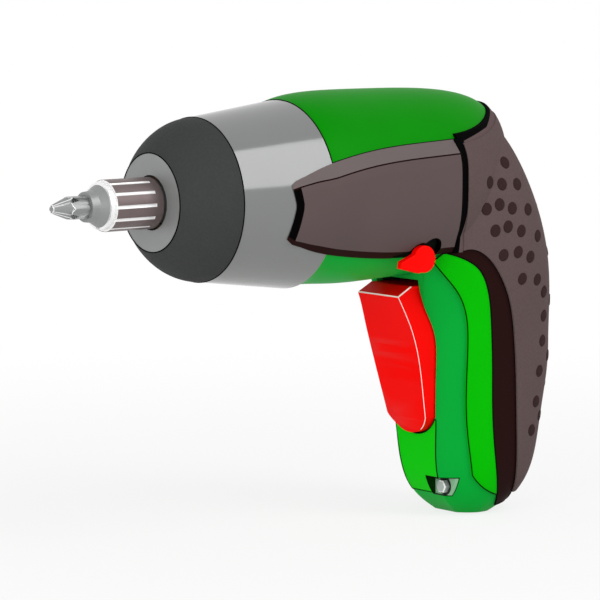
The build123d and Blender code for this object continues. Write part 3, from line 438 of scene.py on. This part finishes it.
def lapped_seal(name, code, grip_code):
    """Seal rubber that the grip's rubber laps over from behind."""
    material, place = surface(name)
    pebbles = place.cells(PEBBLE_SIZE)
    aft = NOSE_FACE - place.axis(0)
    grip_edge = place.math("MAXIMUM", *[slanted(aft, *lap) for lap in GRIP_LAPS])
    under_edge = (grip_edge - place.axis(2)).ramp(0.0, LAP_SOFTNESS * MM)
    behind_corner = aft.ramp(SEAL_CORNER * MM, (SEAL_CORNER + LAP_SOFTNESS) * MM)
    base = (under_edge * behind_corner).blend(srgb(code), srgb(grip_code))
    return dress(
        material, {"Specular IOR Level": 0.02},
        {"Base Color": base, "Roughness": 0.7 + 0.12 * pebbles}, 1.0 - pebbles, PEBBLE_DEPTH,
    )


def turned_metal(name, code, roughness, metallic=0.9, ring=0.16, contrast=0.12):
    """Lathe-turned metal: fine rings about the spindle axis and a slow drift of tone."""
    material, place = surface(name)
    colour = srgb(code)
    rings = place.turned_place().noise(ring, roughness=0.6)
    drift = place.noise(9.0, detail=3.0)
    base = rings.vary(colour, contrast)
    base = (drift.ramp(0.45, 0.75) * 0.25).blend(base, tint(colour, 0.85))
    rough = roughness + 0.14 * rings + 0.06 * drift - 0.08
    return dress(
        material, {"Metallic": metallic},
        {"Base Color": base, "Roughness": rough}, rings, depth=0.012,
    )


def lacquered_casting(name, code, roughness, shine):
    """Smooth lacquered casting with faint handling marks."""
    material, place = surface(name)
    colour = srgb(code)
    blast = place.noise(0.3, detail=3.0, roughness=0.6)
    marks = place.stretch((1.0, 0.15, 0.3)).noise(1.2, detail=4.0, roughness=0.7).ramp(0.66, 0.8)
    base = place.noise(20.0).vary(colour, 0.05)
    base = (marks * 0.2).blend(base, tint(colour, 1.2))
    rough = roughness + 0.06 * blast + 0.06 * marks - 0.03
    return dress(
        material, {"Specular IOR Level": shine},
        {"Base Color": base, "Roughness": rough}, blast, depth=0.001,
    )


def screwed_plate(name, code, shadow_code):
    """Lacquered plate with a dark ring about its screw, painted as the screw's shadow."""
    material, place = surface(name)
    blast = place.noise(0.3, detail=3.0, roughness=0.6)
    side, height, radius = SCREW_SHADOW_RING
    from_screw = distance(place.axis(1) - side * MM, place.axis(2) - height * MM)
    # Painted shadow: a dark ring about the screw
    seat = from_screw.fall((radius - SHADOW_RING_SOFTNESS) * MM, radius * MM)
    base = seat.blend(place.noise(5.0).vary(srgb(code), 0.05), srgb(shadow_code))
    rough = 0.38 + 0.06 * blast + 0.2 * seat
    return dress(
        material, {"Specular IOR Level": 0.4},
        {"Base Color": base, "Roughness": rough}, blast, depth=0.02,
    )


def fluted_sleeve(name, code, flute_highlight_code, land_radius):
    """Dark coated steel whose flutes and end are painted bright as painted highlight."""
    material, place = surface(name)
    turned = place.turned_place()
    rings = turned.noise(0.2)
    bright, coated = [(land_radius - depth) * MM for depth in FLUTE_HIGHLIGHT]
    # Painted highlight: bright below the lands
    flute_highlight = turned.axis(1).fall(bright, coated)
    coat = place.noise(3.0, detail=3.0).vary(srgb(code), 0.1)
    base = flute_highlight.blend(coat, srgb(flute_highlight_code))
    rough = 0.34 + 0.12 * rings - 0.06 * flute_highlight
    return dress(
        material, {"Metallic": 0.35, "Specular IOR Level": 0.4},
        {"Base Color": base, "Roughness": rough}, rings, depth=0.01,
    )


def wound_copper(name, code, pitch):
    """Enamelled wire laid in close turns."""
    material, place = surface(name)
    colour = srgb(code)
    turns = place.math("SINE", place.axis(0) * (2 * math.pi / (pitch * MM)))
    drift = place.noise(2.0)
    base = drift.blend(tint(colour, 0.8), tint(colour, 1.15))
    return dress(
        material, {"Metallic": 0.8},
        {"Base Color": base, "Roughness": 0.3 + 0.15 * drift}, turns, depth=0.08,
    )


def plain_part(name, code, roughness):
    """Inner part with a fine grain and uneven tone."""
    material, place = surface(name)
    speck = place.noise(0.6, detail=3.0)
    base = (speck * 0.5 + place.noise(8.0) * 0.5).vary(srgb(code), 0.15)
    return dress(
        material, {},
        {"Base Color": base, "Roughness": roughness + 0.12 * speck - 0.05}, speck, depth=0.02,
    )


def circuit_board(name, code, pad_code):
    """Lacquered board with copper tracks under the lacquer."""
    material, place = surface(name)
    colour = srgb(code)
    tracks = place.cells(3.0).within(0.30, 0.44, soft=0.04)
    pads = place.cells(2.4).fall(0.12, 0.16)
    base = tracks.blend(colour, tint(colour, 1.6))
    base = pads.blend(base, srgb(pad_code))
    return dress(
        material, {},
        {"Base Color": base, "Roughness": 0.4 - 0.1 * pads}, tracks + pads, depth=0.03,
    )


def wrapped_cell(name, code, end_code):
    """Shrink-wrapped cell with a bare metal end."""
    material, place = surface(name)
    low, high = CELL_BARE
    bare = place.axis(2).ramp(low * MM, high * MM)
    crease = place.stretch((1.0, 1.0, 0.2)).noise(1.5, detail=3.0)
    base = bare.blend(crease.vary(srgb(code), 0.1), srgb(end_code))
    return dress(
        material, {},
        {"Base Color": base, "Roughness": 0.35 + 0.1 * crease, "Metallic": bare}, crease, depth=0.03,
    )


finishes = {
    # The shell is painted darker green in the foot notch and black on the lever pocket's floor, as painted
    # shade
    "shell_green": moulded_plastic(
        "green_shell", "04a637", 0.45, notch_shade_code=NOTCH_SHADE_GREEN, pocket_shade_code="050404",
    ),
    "cover_green": moulded_plastic("dark_green_cover", "028900", 0.45),
    # The side trims' lighter green is painted light, for raised ribs catching the light
    "bright_green": moulded_plastic("trim_green_painted_light", "02b900", 0.42),
    # The front strip's lighter green is painted light on the handle's lit front face; its notch is painted
    # darker as painted shade
    "front_green_painted_light": moulded_plastic("front_strip_painted_light", "05c704", 0.42, notch_shade_code=NOTCH_SHADE_GREEN),
    "grip_rubber": soft_rubber("grip_rubber", GRIP_BROWN),
    "panel_grey": moulded_plastic("panel_plastic", "5d4f4f", 0.55),
    # Panel bevels, groove and front end: the pale colour is painted light, the dark and black ones are
    # painted shade
    "panel_pale": moulded_plastic("panel_top_bevel_painted_light", "6b6160", 0.55),
    "panel_dark": moulded_plastic("panel_low_bevel_painted_shade", RIM_BROWN, 0.55, shine=0.03),
    "panel_end": moulded_plastic("panel_end_painted_shade", "030202", 0.6, shine=0.02),
    "rim_dark": moulded_plastic("dark_rim", RIM_BROWN, 0.55, shine=0.03),
    "seam_black": lapped_seal("seam_rubber", "020202", GRIP_BROWN),
    # Black beads in the shut lines: painted shade
    "shut_line": soft_rubber("shut_line_painted_shade", "060605", 0.7, shine=0.02),
    "stud_rubber": soft_rubber("stud_rubber", "352424", 0.7),
    "case_grey": lacquered_casting("cast_case", "6f7170", 0.12, shine=0.95),
    "nose_dark": soft_rubber("nose_bumper", "3d3f3e", 0.62),
    "plate_steel": turned_metal("nose_plate_steel", PLAIN_STEEL, 0.42, metallic=0.5),
    # The sleeve's bright flutes are painted highlight
    "sleeve_metal": fluted_sleeve("coated_sleeve", "6d5f5f", BRIGHT_STEEL, land_radius=7.6),
    "steel": turned_metal("turned_steel", PLAIN_STEEL, 0.38, metallic=0.5),
    "bright_steel": turned_metal(
        "polished_steel", BRIGHT_STEEL, 0.24, metallic=0.6, ring=0.3, contrast=0.02,
    ),
    "dark_steel": turned_metal("hardened_steel", "5a5c5e", 0.36),
    "spring_steel": turned_metal("spring_wire", "a9abad", 0.28),
    "bronze": turned_metal("oiled_bronze", "4d3f2a", 0.45),
    "copper": wound_copper("copper_wire", "b8682f", pitch=0.45),
    "ferrite": plain_part("ferrite", "3a3a3d", 0.7),
    "motor_steel": turned_metal("plated_can", "8a8d90", 0.3),
    "black_nylon": moulded_plastic("black_nylon", "050505", 0.5, shine=0.02),
    "red_plastic": moulded_plastic("red_plastic", "fe0501", 0.42),
    # Pale edges of the trigger: painted highlight
    "trigger_edge": moulded_plastic("trigger_edge_painted_highlight", "ffe6e2", 0.4, shine=0.1),
    "cell_wrap": wrapped_cell("cell_wrap", "3b6ea5", "b9bcc0"),
    "board_green": circuit_board("circuit_board", "1f5c3a", "c9a24a"),
    "lead_red": plain_part("lead_insulation", "b01c18", 0.45),
    "carbon": plain_part("brush_carbon", "2a2a2c", 0.8),
    # The dark ring about the foot screw is painted shadow
    "foot_steel": screwed_plate("foot_plate_metal", "87b590", "0a0c0a"),
    "screw_face": turned_metal("screw_face_steel", "a9b3ad", 0.4, metallic=0.4),
    # Bright edges of the bit: painted highlight
    "bit_edge": turned_metal("bit_edge_painted_highlight", "f6f6f6", 0.3, metallic=0.3, ring=0.3, contrast=0.02),
}
slot_of = {entry["node"]: entry["material_slot"] for entry in frame["record"]["subparts"]}


def put_finish(piece, *names):
    """Gives a piece these finishes, in this order."""
    piece.data.materials.clear()
    for name in names:
        piece.data.materials.append(finishes[name])


for node, solid in frame["nodes"].items():
    put_finish(solid, slot_of[node])
# The front strip takes the lighter green painted as light on its front face
put_finish(frame["nodes"]["front_strip"], "front_green_painted_light")


# Modelling helpers


def alone(piece):
    """Leaves one object selected and active."""
    bpy.ops.object.select_all(action="DESELECT")
    piece.select_set(True)
    bpy.context.view_layer.objects.active = piece


def edit_whole(piece, operator, **settings):
    """Runs a mesh operator on all of one piece."""
    alone(piece)
    bpy.ops.object.mode_set(mode="EDIT")
    bpy.ops.mesh.select_all(action="SELECT")
    operator(**settings)
    bpy.ops.mesh.select_all(action="DESELECT")
    bpy.ops.object.mode_set(mode="OBJECT")


def apply_modifiers(piece):
    """Makes all modifiers of a piece part of its mesh."""
    alone(piece)
    for modifier in list(piece.modifiers):
        bpy.ops.object.modifier_apply(modifier=modifier.name)


def finish_piece(piece, name, body, angle=SHARP):
    """Names a piece, smooths it up to an angle, and sets the body it rides on."""
    piece.name = name
    alone(piece)
    bpy.ops.object.shade_smooth_by_angle(angle=math.radians(angle))
    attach(piece, body)


def merged_copy(node):
    """A copy of a solid's mesh with its loose triangles joined up."""
    copy = bpy.data.objects.new(node + "_copy", frame["nodes"][node].data.copy())
    bpy.context.collection.objects.link(copy)
    edit_whole(copy, bpy.ops.mesh.remove_doubles, threshold=MERGE_DISTANCE * MM)
    return copy


def flat_faced_copy(node):
    """A merged copy of a solid whose flat faces are whole again."""
    copy = merged_copy(node)
    edit_whole(copy, bpy.ops.mesh.dissolve_limited, angle_limit=math.radians(FLAT_WITHIN))
    return copy


def face_pairs(mesh):
    """The two faces at each edge, by the edge's corners."""
    pairs = {}
    for face in mesh.polygons:
        for key in face.edge_keys:
            pairs.setdefault(key, []).append(face)
    return {key: pair for key, pair in pairs.items() if len(pair) == 2}


def sharp_edges(piece, wanted, angle=SHARP):
    """Edges where two faces of the first finish meet at more than an angle, and that are wanted."""
    corners = piece.data.vertices
    keys = set()
    for key, (first, second) in face_pairs(piece.data).items():
        plain = first.material_index == 0 and second.material_index == 0
        if plain and first.normal.angle(second.normal, 0.0) > math.radians(angle):
            middle = (corners[key[0]].co + corners[key[1]].co) / 2
            if wanted(middle, first.normal, second.normal):
                keys.add(key)
    return keys


def select_edges(piece, keys):
    """Selects only the edges with these corners, and enters edit mode."""
    alone(piece)
    bpy.ops.object.mode_set(mode="EDIT")
    bpy.ops.mesh.select_mode(type="EDGE")
    bpy.ops.mesh.select_all(action="DESELECT")
    bpy.ops.object.mode_set(mode="OBJECT")
    for edge in piece.data.edges:
        edge.select = edge.key in keys
    bpy.ops.object.mode_set(mode="EDIT")


def bevel_edges(piece, keys, width, segments, finish_index):
    """Bevels the edges with these corners, in a finish of the piece or, at -1, in their faces' own."""
    select_edges(piece, keys)
    bpy.ops.mesh.bevel(offset=width * MM, segments=segments, material=finish_index)
    bpy.ops.object.mode_set(mode="OBJECT")


def surface_point(node, start, direction):
    """Where a ray from outside first meets a solid, and the surface's direction there."""
    hit, point, normal, _ = frame["nodes"][node].ray_cast(Vector(start), Vector(direction))
    return (point, normal) if hit else (None, None)


# Side panels

# The pale finish is painted light on the top bevel, the dark one painted shade on the low bevel and
# groove, the black end one painted shade on the front end and pocket walls
PANEL_FINISHES = ("panel_grey", "panel_pale", "panel_dark", "panel_end")
PLAIN, PAINTED_LIGHT, PAINTED_SHADE, END = range(len(PANEL_FINISHES))


def spread(start, end, count):
    """Evenly spaced values from start to end."""
    return [start + (end - start) * k / (count - 1) for k in range(count)]


def panel_skin(aft, height):
    """Half width of the body over the right panel, or None beside the panel."""
    start = (station(aft), -FLANK_RAY_START, height * MM)
    point, _ = surface_point("side_panel_right", start, (0, 1, 0))
    return None if point is None else -point.y / MM


def panel_reach(aft, height, direction, limit):
    """How far the panel runs from a place on it, along a direction."""
    low, high = 0.0, limit
    for _ in range(EDGE_STEPS):
        middle = (low + high) / 2
        if panel_skin(aft + direction[0] * middle, height + direction[1] * middle) is None:
            high = middle
        else:
            low = middle
    return low


def panel_front(height):
    """Distance aft of the panel's front edge at a height."""
    (low, low_aft), (notch, notch_aft), (top, top_aft) = PANEL_FRONT
    if height < notch:
        return low_aft + (notch_aft - low_aft) * (height - low) / (notch - low)
    return notch_aft + (top_aft - notch_aft) * (height - notch) / (top - notch)


def bevel_width(aft, front_width, growth, limit):
    """Width of one of the panel's long bevels at a distance aft."""
    return min(limit, front_width + growth * (aft - BEVEL_START))


def panel_heights(aft, low, top):
    """Heights of one column: low edge, low bevel, the plain face, the fine groove, top edge."""
    low_line = low + bevel_width(aft, *LOW_BEVEL)
    top_line = top - bevel_width(aft, *TOP_BEVEL)
    face = spread(low_line, top_line - 2 * PANEL_LINE, PANEL_ROWS)
    return [low, *face, top_line - PANEL_LINE, top_line, top]


def panel_places():
    """Columns of places on a panel, from its front edge to its rear one: distance aft, height."""
    columns = []
    for aft in spread(PANEL_FIRST_COLUMN, PANEL_LAST_COLUMN, PANEL_COLUMNS):
        top = PANEL_MIDDLE + panel_reach(aft, PANEL_MIDDLE, (0, 1), PANEL_HALF_HEIGHT)
        low = PANEL_MIDDLE - panel_reach(aft, PANEL_MIDDLE, (0, -1), PANEL_HALF_HEIGHT)
        columns.append([(aft, height) for height in panel_heights(aft, low, top)])
    rear = []
    rear_low, rear_top = columns[-1][0][1], columns[-1][-1][1]
    for _, height in columns[-1]:
        inside = min(max(height, rear_low + REAR_CORNER), rear_top - REAR_CORNER)
        reach = panel_reach(PANEL_NEAR_REAR, inside, (1, 0), PANEL_REAR_REACH)
        rear.append((PANEL_NEAR_REAR + reach, height))
    front_low, _, front_top = [height for height, _ in PANEL_FRONT]
    front = [(panel_front(height), height) for height in panel_heights(BEVEL_START, front_low, front_top)]
    columns[0] = [(aft + PANEL_END_BEVEL, height) for (aft, _), (_, height) in zip(front, columns[0])]
    return [front, *columns, rear]


def inward(index, last):
    """1 at the first of a row, -1 at its last, 0 between."""
    return (index == 0) - (index == last)


def panel_points():
    """Columns of points on the right panel's skin: distance aft, height, half width."""
    columns = panel_places()
    last_column = len(columns) - 1
    last_row = len(columns[0]) - 1
    points = []
    for column, places in enumerate(columns):
        points.append([])
        for row, (aft, height) in enumerate(places):
            near_aft = aft + EDGE_INSET * inward(column, last_column)
            near_height = height + EDGE_INSET * inward(row, last_row)
            width = panel_skin(near_aft, near_height)
            if width is None:
                step = SECOND_INSET if column < FRONT_COLUMNS else -SECOND_INSET
                width = panel_skin(near_aft + step, near_height * SECOND_HEIGHT_SHARE)
            if column == 0 or row in (0, last_row):
                width -= PANEL_DROP
            elif column == last_column or row == last_row - 2:
                width -= PANEL_LINE_DEPTH
            points[-1].append((aft, height, width))
    return points


def panel_finish(column, row, last_row):
    """Which of the panel's finishes a face has, by its place in the grid of faces: painted light on the
    top bevel, painted shade on the low bevel, groove and front end.
    """
    if row == last_row:
        return PAINTED_LIGHT
    if row == 0 or row >= last_row - 2:
        return PAINTED_SHADE
    return END if column == 0 else PLAIN


def make_panel(side, name, node, columns):
    """A raised panel with a top bevel painted pale as painted light, a low bevel and top groove painted
    dark as painted shade, and a front end painted black as painted shade.
    """
    steps = (len(columns) - 1, len(columns[0]) - 1)
    bpy.ops.object.select_all(action="DESELECT")
    bpy.ops.mesh.primitive_grid_add(x_subdivisions=steps[0], y_subdivisions=steps[1], size=1.0)
    panel = bpy.context.object
    put_finish(panel, *PANEL_FINISHES)
    corners = panel.data.vertices
    # The grid is one metre wide about the origin
    spots = [[round((corner.co[k] + 0.5) * steps[k]) for k in (0, 1)] for corner in corners]
    for face in panel.data.polygons:
        column, row = [min(spots[corner][k] for corner in face.vertices) for k in (0, 1)]
        face.material_index = panel_finish(column, row, steps[1] - 1)
    for corner, (column, row) in zip(corners, spots):
        aft, height, width = columns[column][row]
        corner.co = (station(aft), side * width * MM, height * MM)
    if side < 0:
        edit_whole(panel, bpy.ops.mesh.flip_normals)
    wall = panel.modifiers.new("wall", "SOLIDIFY")
    wall.thickness = PANEL_THICKNESS * MM
    wall.offset = -1.0
    apply_modifiers(panel)
    if side > 0:
        cut_lever_pocket(panel)
    finish_piece(panel, name, "housing", angle=10.0)
    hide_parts(node)


def lever_room(turn):
    """The lever's form, grown a little and turned, as room to cut from the panel."""
    room = merged_copy("reversing_lever")
    aft, side, height = LEVER_MIDDLE
    middle = Vector((station(aft), side * MM, height * MM))
    growth = Matrix.Diagonal((*LEVER_ROOM, 1.0))
    pivot = Matrix.Translation((station(LEVER_PIVOT[0]), 0.0, LEVER_PIVOT[1] * MM))
    grow = Matrix.Translation(middle) @ growth @ Matrix.Translation(-middle)
    swing = pivot @ Matrix.Rotation(math.radians(turn), 4, "Y") @ pivot.inverted()
    room.data.transform(swing @ grow)
    return room


def cut_lever_pocket(panel):
    """Cuts the lever's round pocket and swing from the left panel, with its walls painted black as painted
    shade.
    """
    aft, height = LEVER_POCKET
    bpy.ops.object.select_all(action="DESELECT")
    bpy.ops.mesh.primitive_cylinder_add(
        vertices=POCKET_FACETS, radius=POCKET_RADIUS * MM, depth=POCKET_DEPTH * MM,
        location=(station(aft), POCKET_SIDE * MM, height * MM), rotation=(math.pi / 2, 0, 0),
    )
    cutters = [bpy.context.object, *[lever_room(turn) for turn in (-LEVER_SWING, 0.0, LEVER_SWING)]]
    for cutter in cutters:
        put_finish(cutter, *PANEL_FINISHES)
        # The pocket's new walls are painted black as painted shade
        for face in cutter.data.polygons:
            face.material_index = END
        pocket = panel.modifiers.new("pocket", "BOOLEAN")
        pocket.operation = "DIFFERENCE"
        pocket.solver = "EXACT"
        pocket.object = cutter
        apply_modifiers(panel)
        bpy.data.objects.remove(cutter)


panel_columns = panel_points()
make_panel(1, "left_panel_face", "side_panel_left", panel_columns)
make_panel(-1, "right_panel_face", "side_panel_right", panel_columns)


# Pieces with rounded or worn edges


def make_lever():
    """The reversing lever with a rounded outer edge."""
    lever = flat_faced_copy("reversing_lever")
    put_finish(lever, "red_plastic")
    rim = sharp_edges(lever, lambda middle, a, b: max(a.y, b.y) > SQUARELY)
    bevel_edges(lever, rim, LEVER_EDGE, segments=3, finish_index=-1)
    finish_piece(lever, "lever_paddle", "lever", angle=30.0)
    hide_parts("reversing_lever")


def on_trigger_top(middle, a, b):
    """Whether an edge between faces with directions a and b is at the trigger's top."""
    return max(a.z, b.z) > PARTLY and middle.x > station(TRIGGER_TOP_REAR)


def on_trigger_front(middle, a, b):
    """Whether such an edge is one of the trigger's front corners."""
    return max(a.x, b.x) > PARTLY and max(abs(a.y), abs(b.y)) > MOSTLY


def make_trigger():
    """The trigger, with a painted highlight in a pale finish along its top edges and, more finely, down
    its front corners.
    """
    trigger = flat_faced_copy("trigger")
    put_finish(trigger, "red_plastic", "trigger_edge")
    # Painted highlight: the bevelled edges take the pale second finish
    for wanted, width in ((on_trigger_top, TRIGGER_TOP_EDGE), (on_trigger_front, TRIGGER_FRONT_EDGE)):
        bevel_edges(trigger, sharp_edges(trigger, wanted), width, segments=1, finish_index=1)
    finish_piece(trigger, "trigger_body", "trigger", angle=30.0)
    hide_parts("trigger")


def make_bit():
    """The screwdriver bit, with a painted highlight in a bright finish along the edges that stand out of
    the chuck.
    """
    bit = flat_faced_copy("screwdriver_bit")
    put_finish(bit, "steel", "bit_edge")
    # Painted highlight: these edges are bevelled in the bright second finish
    wear_and_highlight = sharp_edges(bit, lambda middle, a, b: middle.x > BIT_SHOWN * MM, BIT_SHARP)
    bevel_edges(bit, wear_and_highlight, BIT_EDGE, segments=1, finish_index=1)
    finish_piece(bit, "bit_body", "bit", angle=30.0)
    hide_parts("screwdriver_bit")


def make_foot_screw():
    """The foot's hexagon screw with a bright chamfer on its head."""
    screw = flat_faced_copy("foot_screw")
    put_finish(screw, "screw_face", "bright_steel")
    rim = sharp_edges(screw, lambda middle, a, b: max(a.x, b.x) > SQUARELY)
    bevel_edges(screw, rim, SCREW_EDGE, segments=2, finish_index=1)
    finish_piece(screw, "foot_screw_head", "housing", angle=30.0)
    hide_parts("foot_screw")


make_lever()
make_trigger()
make_bit()
make_foot_screw()


# Springs, each copied as a piece with its own mesh


def make_spring(node, body):
    """A merged copy of a spring, with its finish and its own mesh, on the body it rides on."""
    coil = merged_copy(node)
    put_finish(coil, slot_of[node])
    finish_piece(coil, node + "_coil", body, angle=40.0)
    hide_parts(node)
    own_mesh(coil)


for joint in frame["record"]["behaviour"]["joints"]:
    for spring in joint.get("deforming_nodes", []):
        node = spring["node"]
        make_spring(node, joint["parent"])


# Shut lines between the mouldings, as black beads of painted shade


def radial(point):
    """Away from the spindle axis."""
    return Vector((0.0, point.y, point.z)).normalized()


def sideways(point):
    """Away from the middle plane."""
    return Vector((0.0, math.copysign(1.0, point.y), 0.0))


def forward(point):
    """Towards the nose."""
    return Vector((1.0, 0.0, 0.0))


def make_shut_line(node, name, outward):
    """A thin black bead along the edge where a moulding's skin meets its neighbours: painted shade for the
    gap between them.
    """
    line = merged_copy(node)
    line.data.materials.clear()

    def on_skin(middle, first, second):
        facing = sorted(normal.dot(outward(middle)) for normal in (first, second))
        return facing[1] > PARTLY and facing[0] < BARELY

    select_edges(line, sharp_edges(line, on_skin))
    bpy.ops.mesh.select_all(action="INVERT")
    bpy.ops.mesh.delete(type="EDGE_FACE")
    bpy.ops.mesh.select_all(action="SELECT")
    bpy.ops.mesh.delete(type="ONLY_FACE")
    bpy.ops.mesh.select_all(action="SELECT")
    bpy.ops.mesh.delete_loose(use_verts=True, use_edges=False, use_faces=False)
    bpy.ops.object.mode_set(mode="OBJECT")
    alone(line)
    bpy.ops.object.convert(target="CURVE")
    line.data.bevel_depth = SHUT_LINE * MM
    line.data.bevel_resolution = 1
    line.data.use_fill_caps = True
    bpy.ops.object.convert(target="MESH")
    put_finish(line, "shut_line")
    finish_piece(line, name, "housing", angle=60.0)


make_shut_line("top_cover", "cover_shut_line", radial)
make_shut_line("side_trims", "trim_shut_line", sideways)
make_shut_line("grip_rims", "rim_shut_line", sideways)
make_shut_line("front_strip", "strip_shut_line", forward)
make_shut_line("nose_ring", "nose_shut_line", radial)


# Studs on the rear grip


def model_stud():
    """One low domed stud about the origin, facing up."""
    bpy.ops.object.select_all(action="DESELECT")
    bpy.ops.mesh.primitive_cylinder_add(
        vertices=STUD_FACETS, radius=STUD_RADIUS * MM, depth=STUD_HEIGHT * MM,
    )
    stud = bpy.context.object
    bpy.ops.object.mode_set(mode="EDIT")
    bpy.ops.mesh.select_all(action="DESELECT")
    bpy.ops.object.mode_set(mode="OBJECT")
    for face in stud.data.polygons:
        face.select = face.normal.z > SQUARELY
    bpy.ops.object.mode_set(mode="EDIT")
    bpy.ops.mesh.bevel(offset=STUD_ROUNDING * STUD_RADIUS * MM, segments=3, profile=0.6)
    bpy.ops.object.mode_set(mode="OBJECT")
    return stud


def stud_seat(start, direction):
    """The middle and the direction of a stud's seat, levelled over the grip's surface under its rim."""
    across = Vector(direction).orthogonal().normalized()
    level = Vector(direction).cross(across)
    points, normals = [], []
    for across_share, level_share in ((0, 0), (1, 0), (-1, 0), (0, 1), (0, -1)):
        shift = (across * across_share + level * level_share) * STUD_SEAT * STUD_RADIUS * MM
        point, normal = surface_point("rear_grip", Vector(start) + shift, direction)
        if point is None:
            return None
        points.append(point)
        normals.append(normal)
    return sum(points, Vector()) / len(points), sum(normals, Vector()).normalized()


def stud_seats():
    """Seats on both flanks and on the back of the grip, without those that miss it."""
    seats = []
    for aft, height in FLANK_STUDS:
        for side in (1, -1):
            seats.append(stud_seat((station(aft), side * FLANK_RAY_START, height * MM), (0, -side, 0)))
    for row, height in enumerate(BACK_STUD_HEIGHTS):
        for offset in BACK_STUD_SIDES[row % 2]:
            for side in ((1, -1) if offset else (1,)):
                seats.append(stud_seat((BACK_RAY_START, side * offset * MM, height * MM), (1, 0, 0)))
    return [seat for seat in seats if seat]


def stud_height(point, normal):
    """How far a stud stands out, less where the grip's back is the object's rearmost place."""
    spread_aft = STUD_RADIUS * math.sqrt(max(0.0, 1.0 - normal.x ** 2)) * max(0.0, -normal.x)
    room = (point.x - cad_box[0].x) / MM - spread_aft
    return STUD_PROUD if normal.x > -BARELY else min(STUD_PROUD, room)


def make_grip_studs():
    """All studs that stand out of the grip, as one piece."""
    pattern = model_stud()
    copies = []
    for point, normal in stud_seats():
        proud = stud_height(point, normal)
        if proud < STUD_LEAST:
            continue
        sink = (STUD_HEIGHT / 2 - proud) * MM
        copy = pattern.copy()
        copy.data = pattern.data.copy()
        bpy.context.collection.objects.link(copy)
        turn = normal.to_track_quat("Z", "Y").to_matrix().to_4x4()
        copy.data.transform(Matrix.Translation(point - normal * sink) @ turn)
        copies.append(copy)
    bpy.data.objects.remove(pattern)
    bpy.ops.object.select_all(action="DESELECT")
    for copy in copies:
        copy.select_set(True)
    bpy.context.view_layer.objects.active = copies[0]
    bpy.ops.object.join()
    studs = bpy.context.object
    put_finish(studs, "stud_rubber")
    finish_piece(studs, "grip_studs", "housing")


make_grip_studs()


# Stage, light and camera


def shown_rays(tree):
    """1 for rays from the camera, from gloss and through glass, 0 for the rays that light the object."""
    rays = tree.nodes.new("ShaderNodeLightPath")
    camera = Field(tree, rays.outputs["Is Camera Ray"])
    glossy = Field(tree, rays.outputs["Is Glossy Ray"])
    clear = Field(tree, rays.outputs["Is Transmission Ray"])
    return camera.math("MINIMUM", camera + glossy + clear, 1.0)


def make_floor():
    """A pale floor that keeps a soft shadow near the object and is white further off."""
    bpy.ops.object.select_all(action="DESELECT")
    bpy.ops.mesh.primitive_plane_add(size=FLOOR_SIZE, location=(0, 0, cad_box[0].z - FLOOR_GAP))
    floor = bpy.context.object
    floor.name = "floor"
    material, place = surface("pale_floor")
    tree = material.node_tree
    shader = tree.nodes["Principled BSDF"]
    shader.inputs["Base Color"].default_value = FLOOR_GREY
    shader.inputs["Roughness"].default_value = 0.9
    shader.inputs["Specular IOR Level"].default_value = 0.0
    glow = tree.nodes.new("ShaderNodeEmission")
    mix = tree.nodes.new("ShaderNodeMixShader")
    from_object = distance(place.axis(0) - SHADOW_MIDDLE, place.axis(1))
    white = SHADOW_WHITE + (1.0 - SHADOW_WHITE) * from_object.ramp(*SHADOW_FADE)
    tree.links.new((shown_rays(tree) * white).socket, mix.inputs[0])
    tree.links.new(shader.outputs[0], mix.inputs[1])
    tree.links.new(glow.outputs[0], mix.inputs[2])
    tree.links.new(mix.outputs[0], tree.nodes["Material Output"].inputs["Surface"])
    floor.data.materials.append(material)


def make_world():
    """White surroundings that light the object more softly than they show."""
    world = bpy.data.worlds.new("studio")
    bpy.context.scene.world = world
    world.use_nodes = True
    tree = world.node_tree
    background = tree.nodes["Background"]
    background.inputs["Color"].default_value = (1.0, 1.0, 1.0, 1.0)
    strength = AMBIENT + (1.0 - AMBIENT) * shown_rays(tree)
    tree.links.new(strength.socket, background.inputs["Strength"])


def make_softbox(name, direction, away, size, power):
    """Area light that faces the object from a direction and so many metres away."""
    light = bpy.data.lights.new(name, "AREA")
    light.shape = "RECTANGLE"
    light.size, light.size_y = size
    light.energy = power
    lamp = bpy.data.objects.new(name, light)
    bpy.context.collection.objects.link(lamp)
    back = Vector(direction).normalized()
    lamp.location = AIM + back * away
    lamp.rotation_euler = back.to_track_quat("Z", "Y").to_euler()


def make_camera():
    """The photograph's camera, which shows the aim at its pixel."""
    azimuth = math.radians(AZIMUTH)
    elevation = math.radians(ELEVATION)
    back = Vector((
        math.sin(azimuth) * math.cos(elevation),
        -math.cos(azimuth) * math.cos(elevation),
        math.sin(elevation),
    ))
    right = Vector((math.cos(azimuth), math.sin(azimuth), 0.0))
    up = back.cross(right)
    scale = DISTANCE / FOCAL_PIXELS
    middle = FRAME_PIXELS / 2
    centre = AIM + right * ((middle - AIM_PIXEL[0]) * scale) - up * ((middle - AIM_PIXEL[1]) * scale)
    lens = bpy.data.cameras.new("photo_view")
    lens.sensor_width = SENSOR
    lens.lens = FOCAL_PIXELS / FRAME_PIXELS * SENSOR
    camera = bpy.data.objects.new("photo_view", lens)
    bpy.context.collection.objects.link(camera)
    turn = Matrix((right, up, back)).transposed().to_4x4()
    camera.matrix_world = Matrix.Translation(centre + back * DISTANCE) @ turn
    bpy.context.scene.camera = camera


make_floor()
make_world()
make_softbox("key_softbox", direction=(-0.338, 0.698, 0.63), away=0.9, size=(0.43, 0.76), power=3.4)
make_softbox("front_fill", direction=(1.0, 0.40, 0.05), away=1.2, size=(0.9, 0.9), power=10.0)
make_camera()
bpy.context.scene.view_settings.view_transform = "Standard"
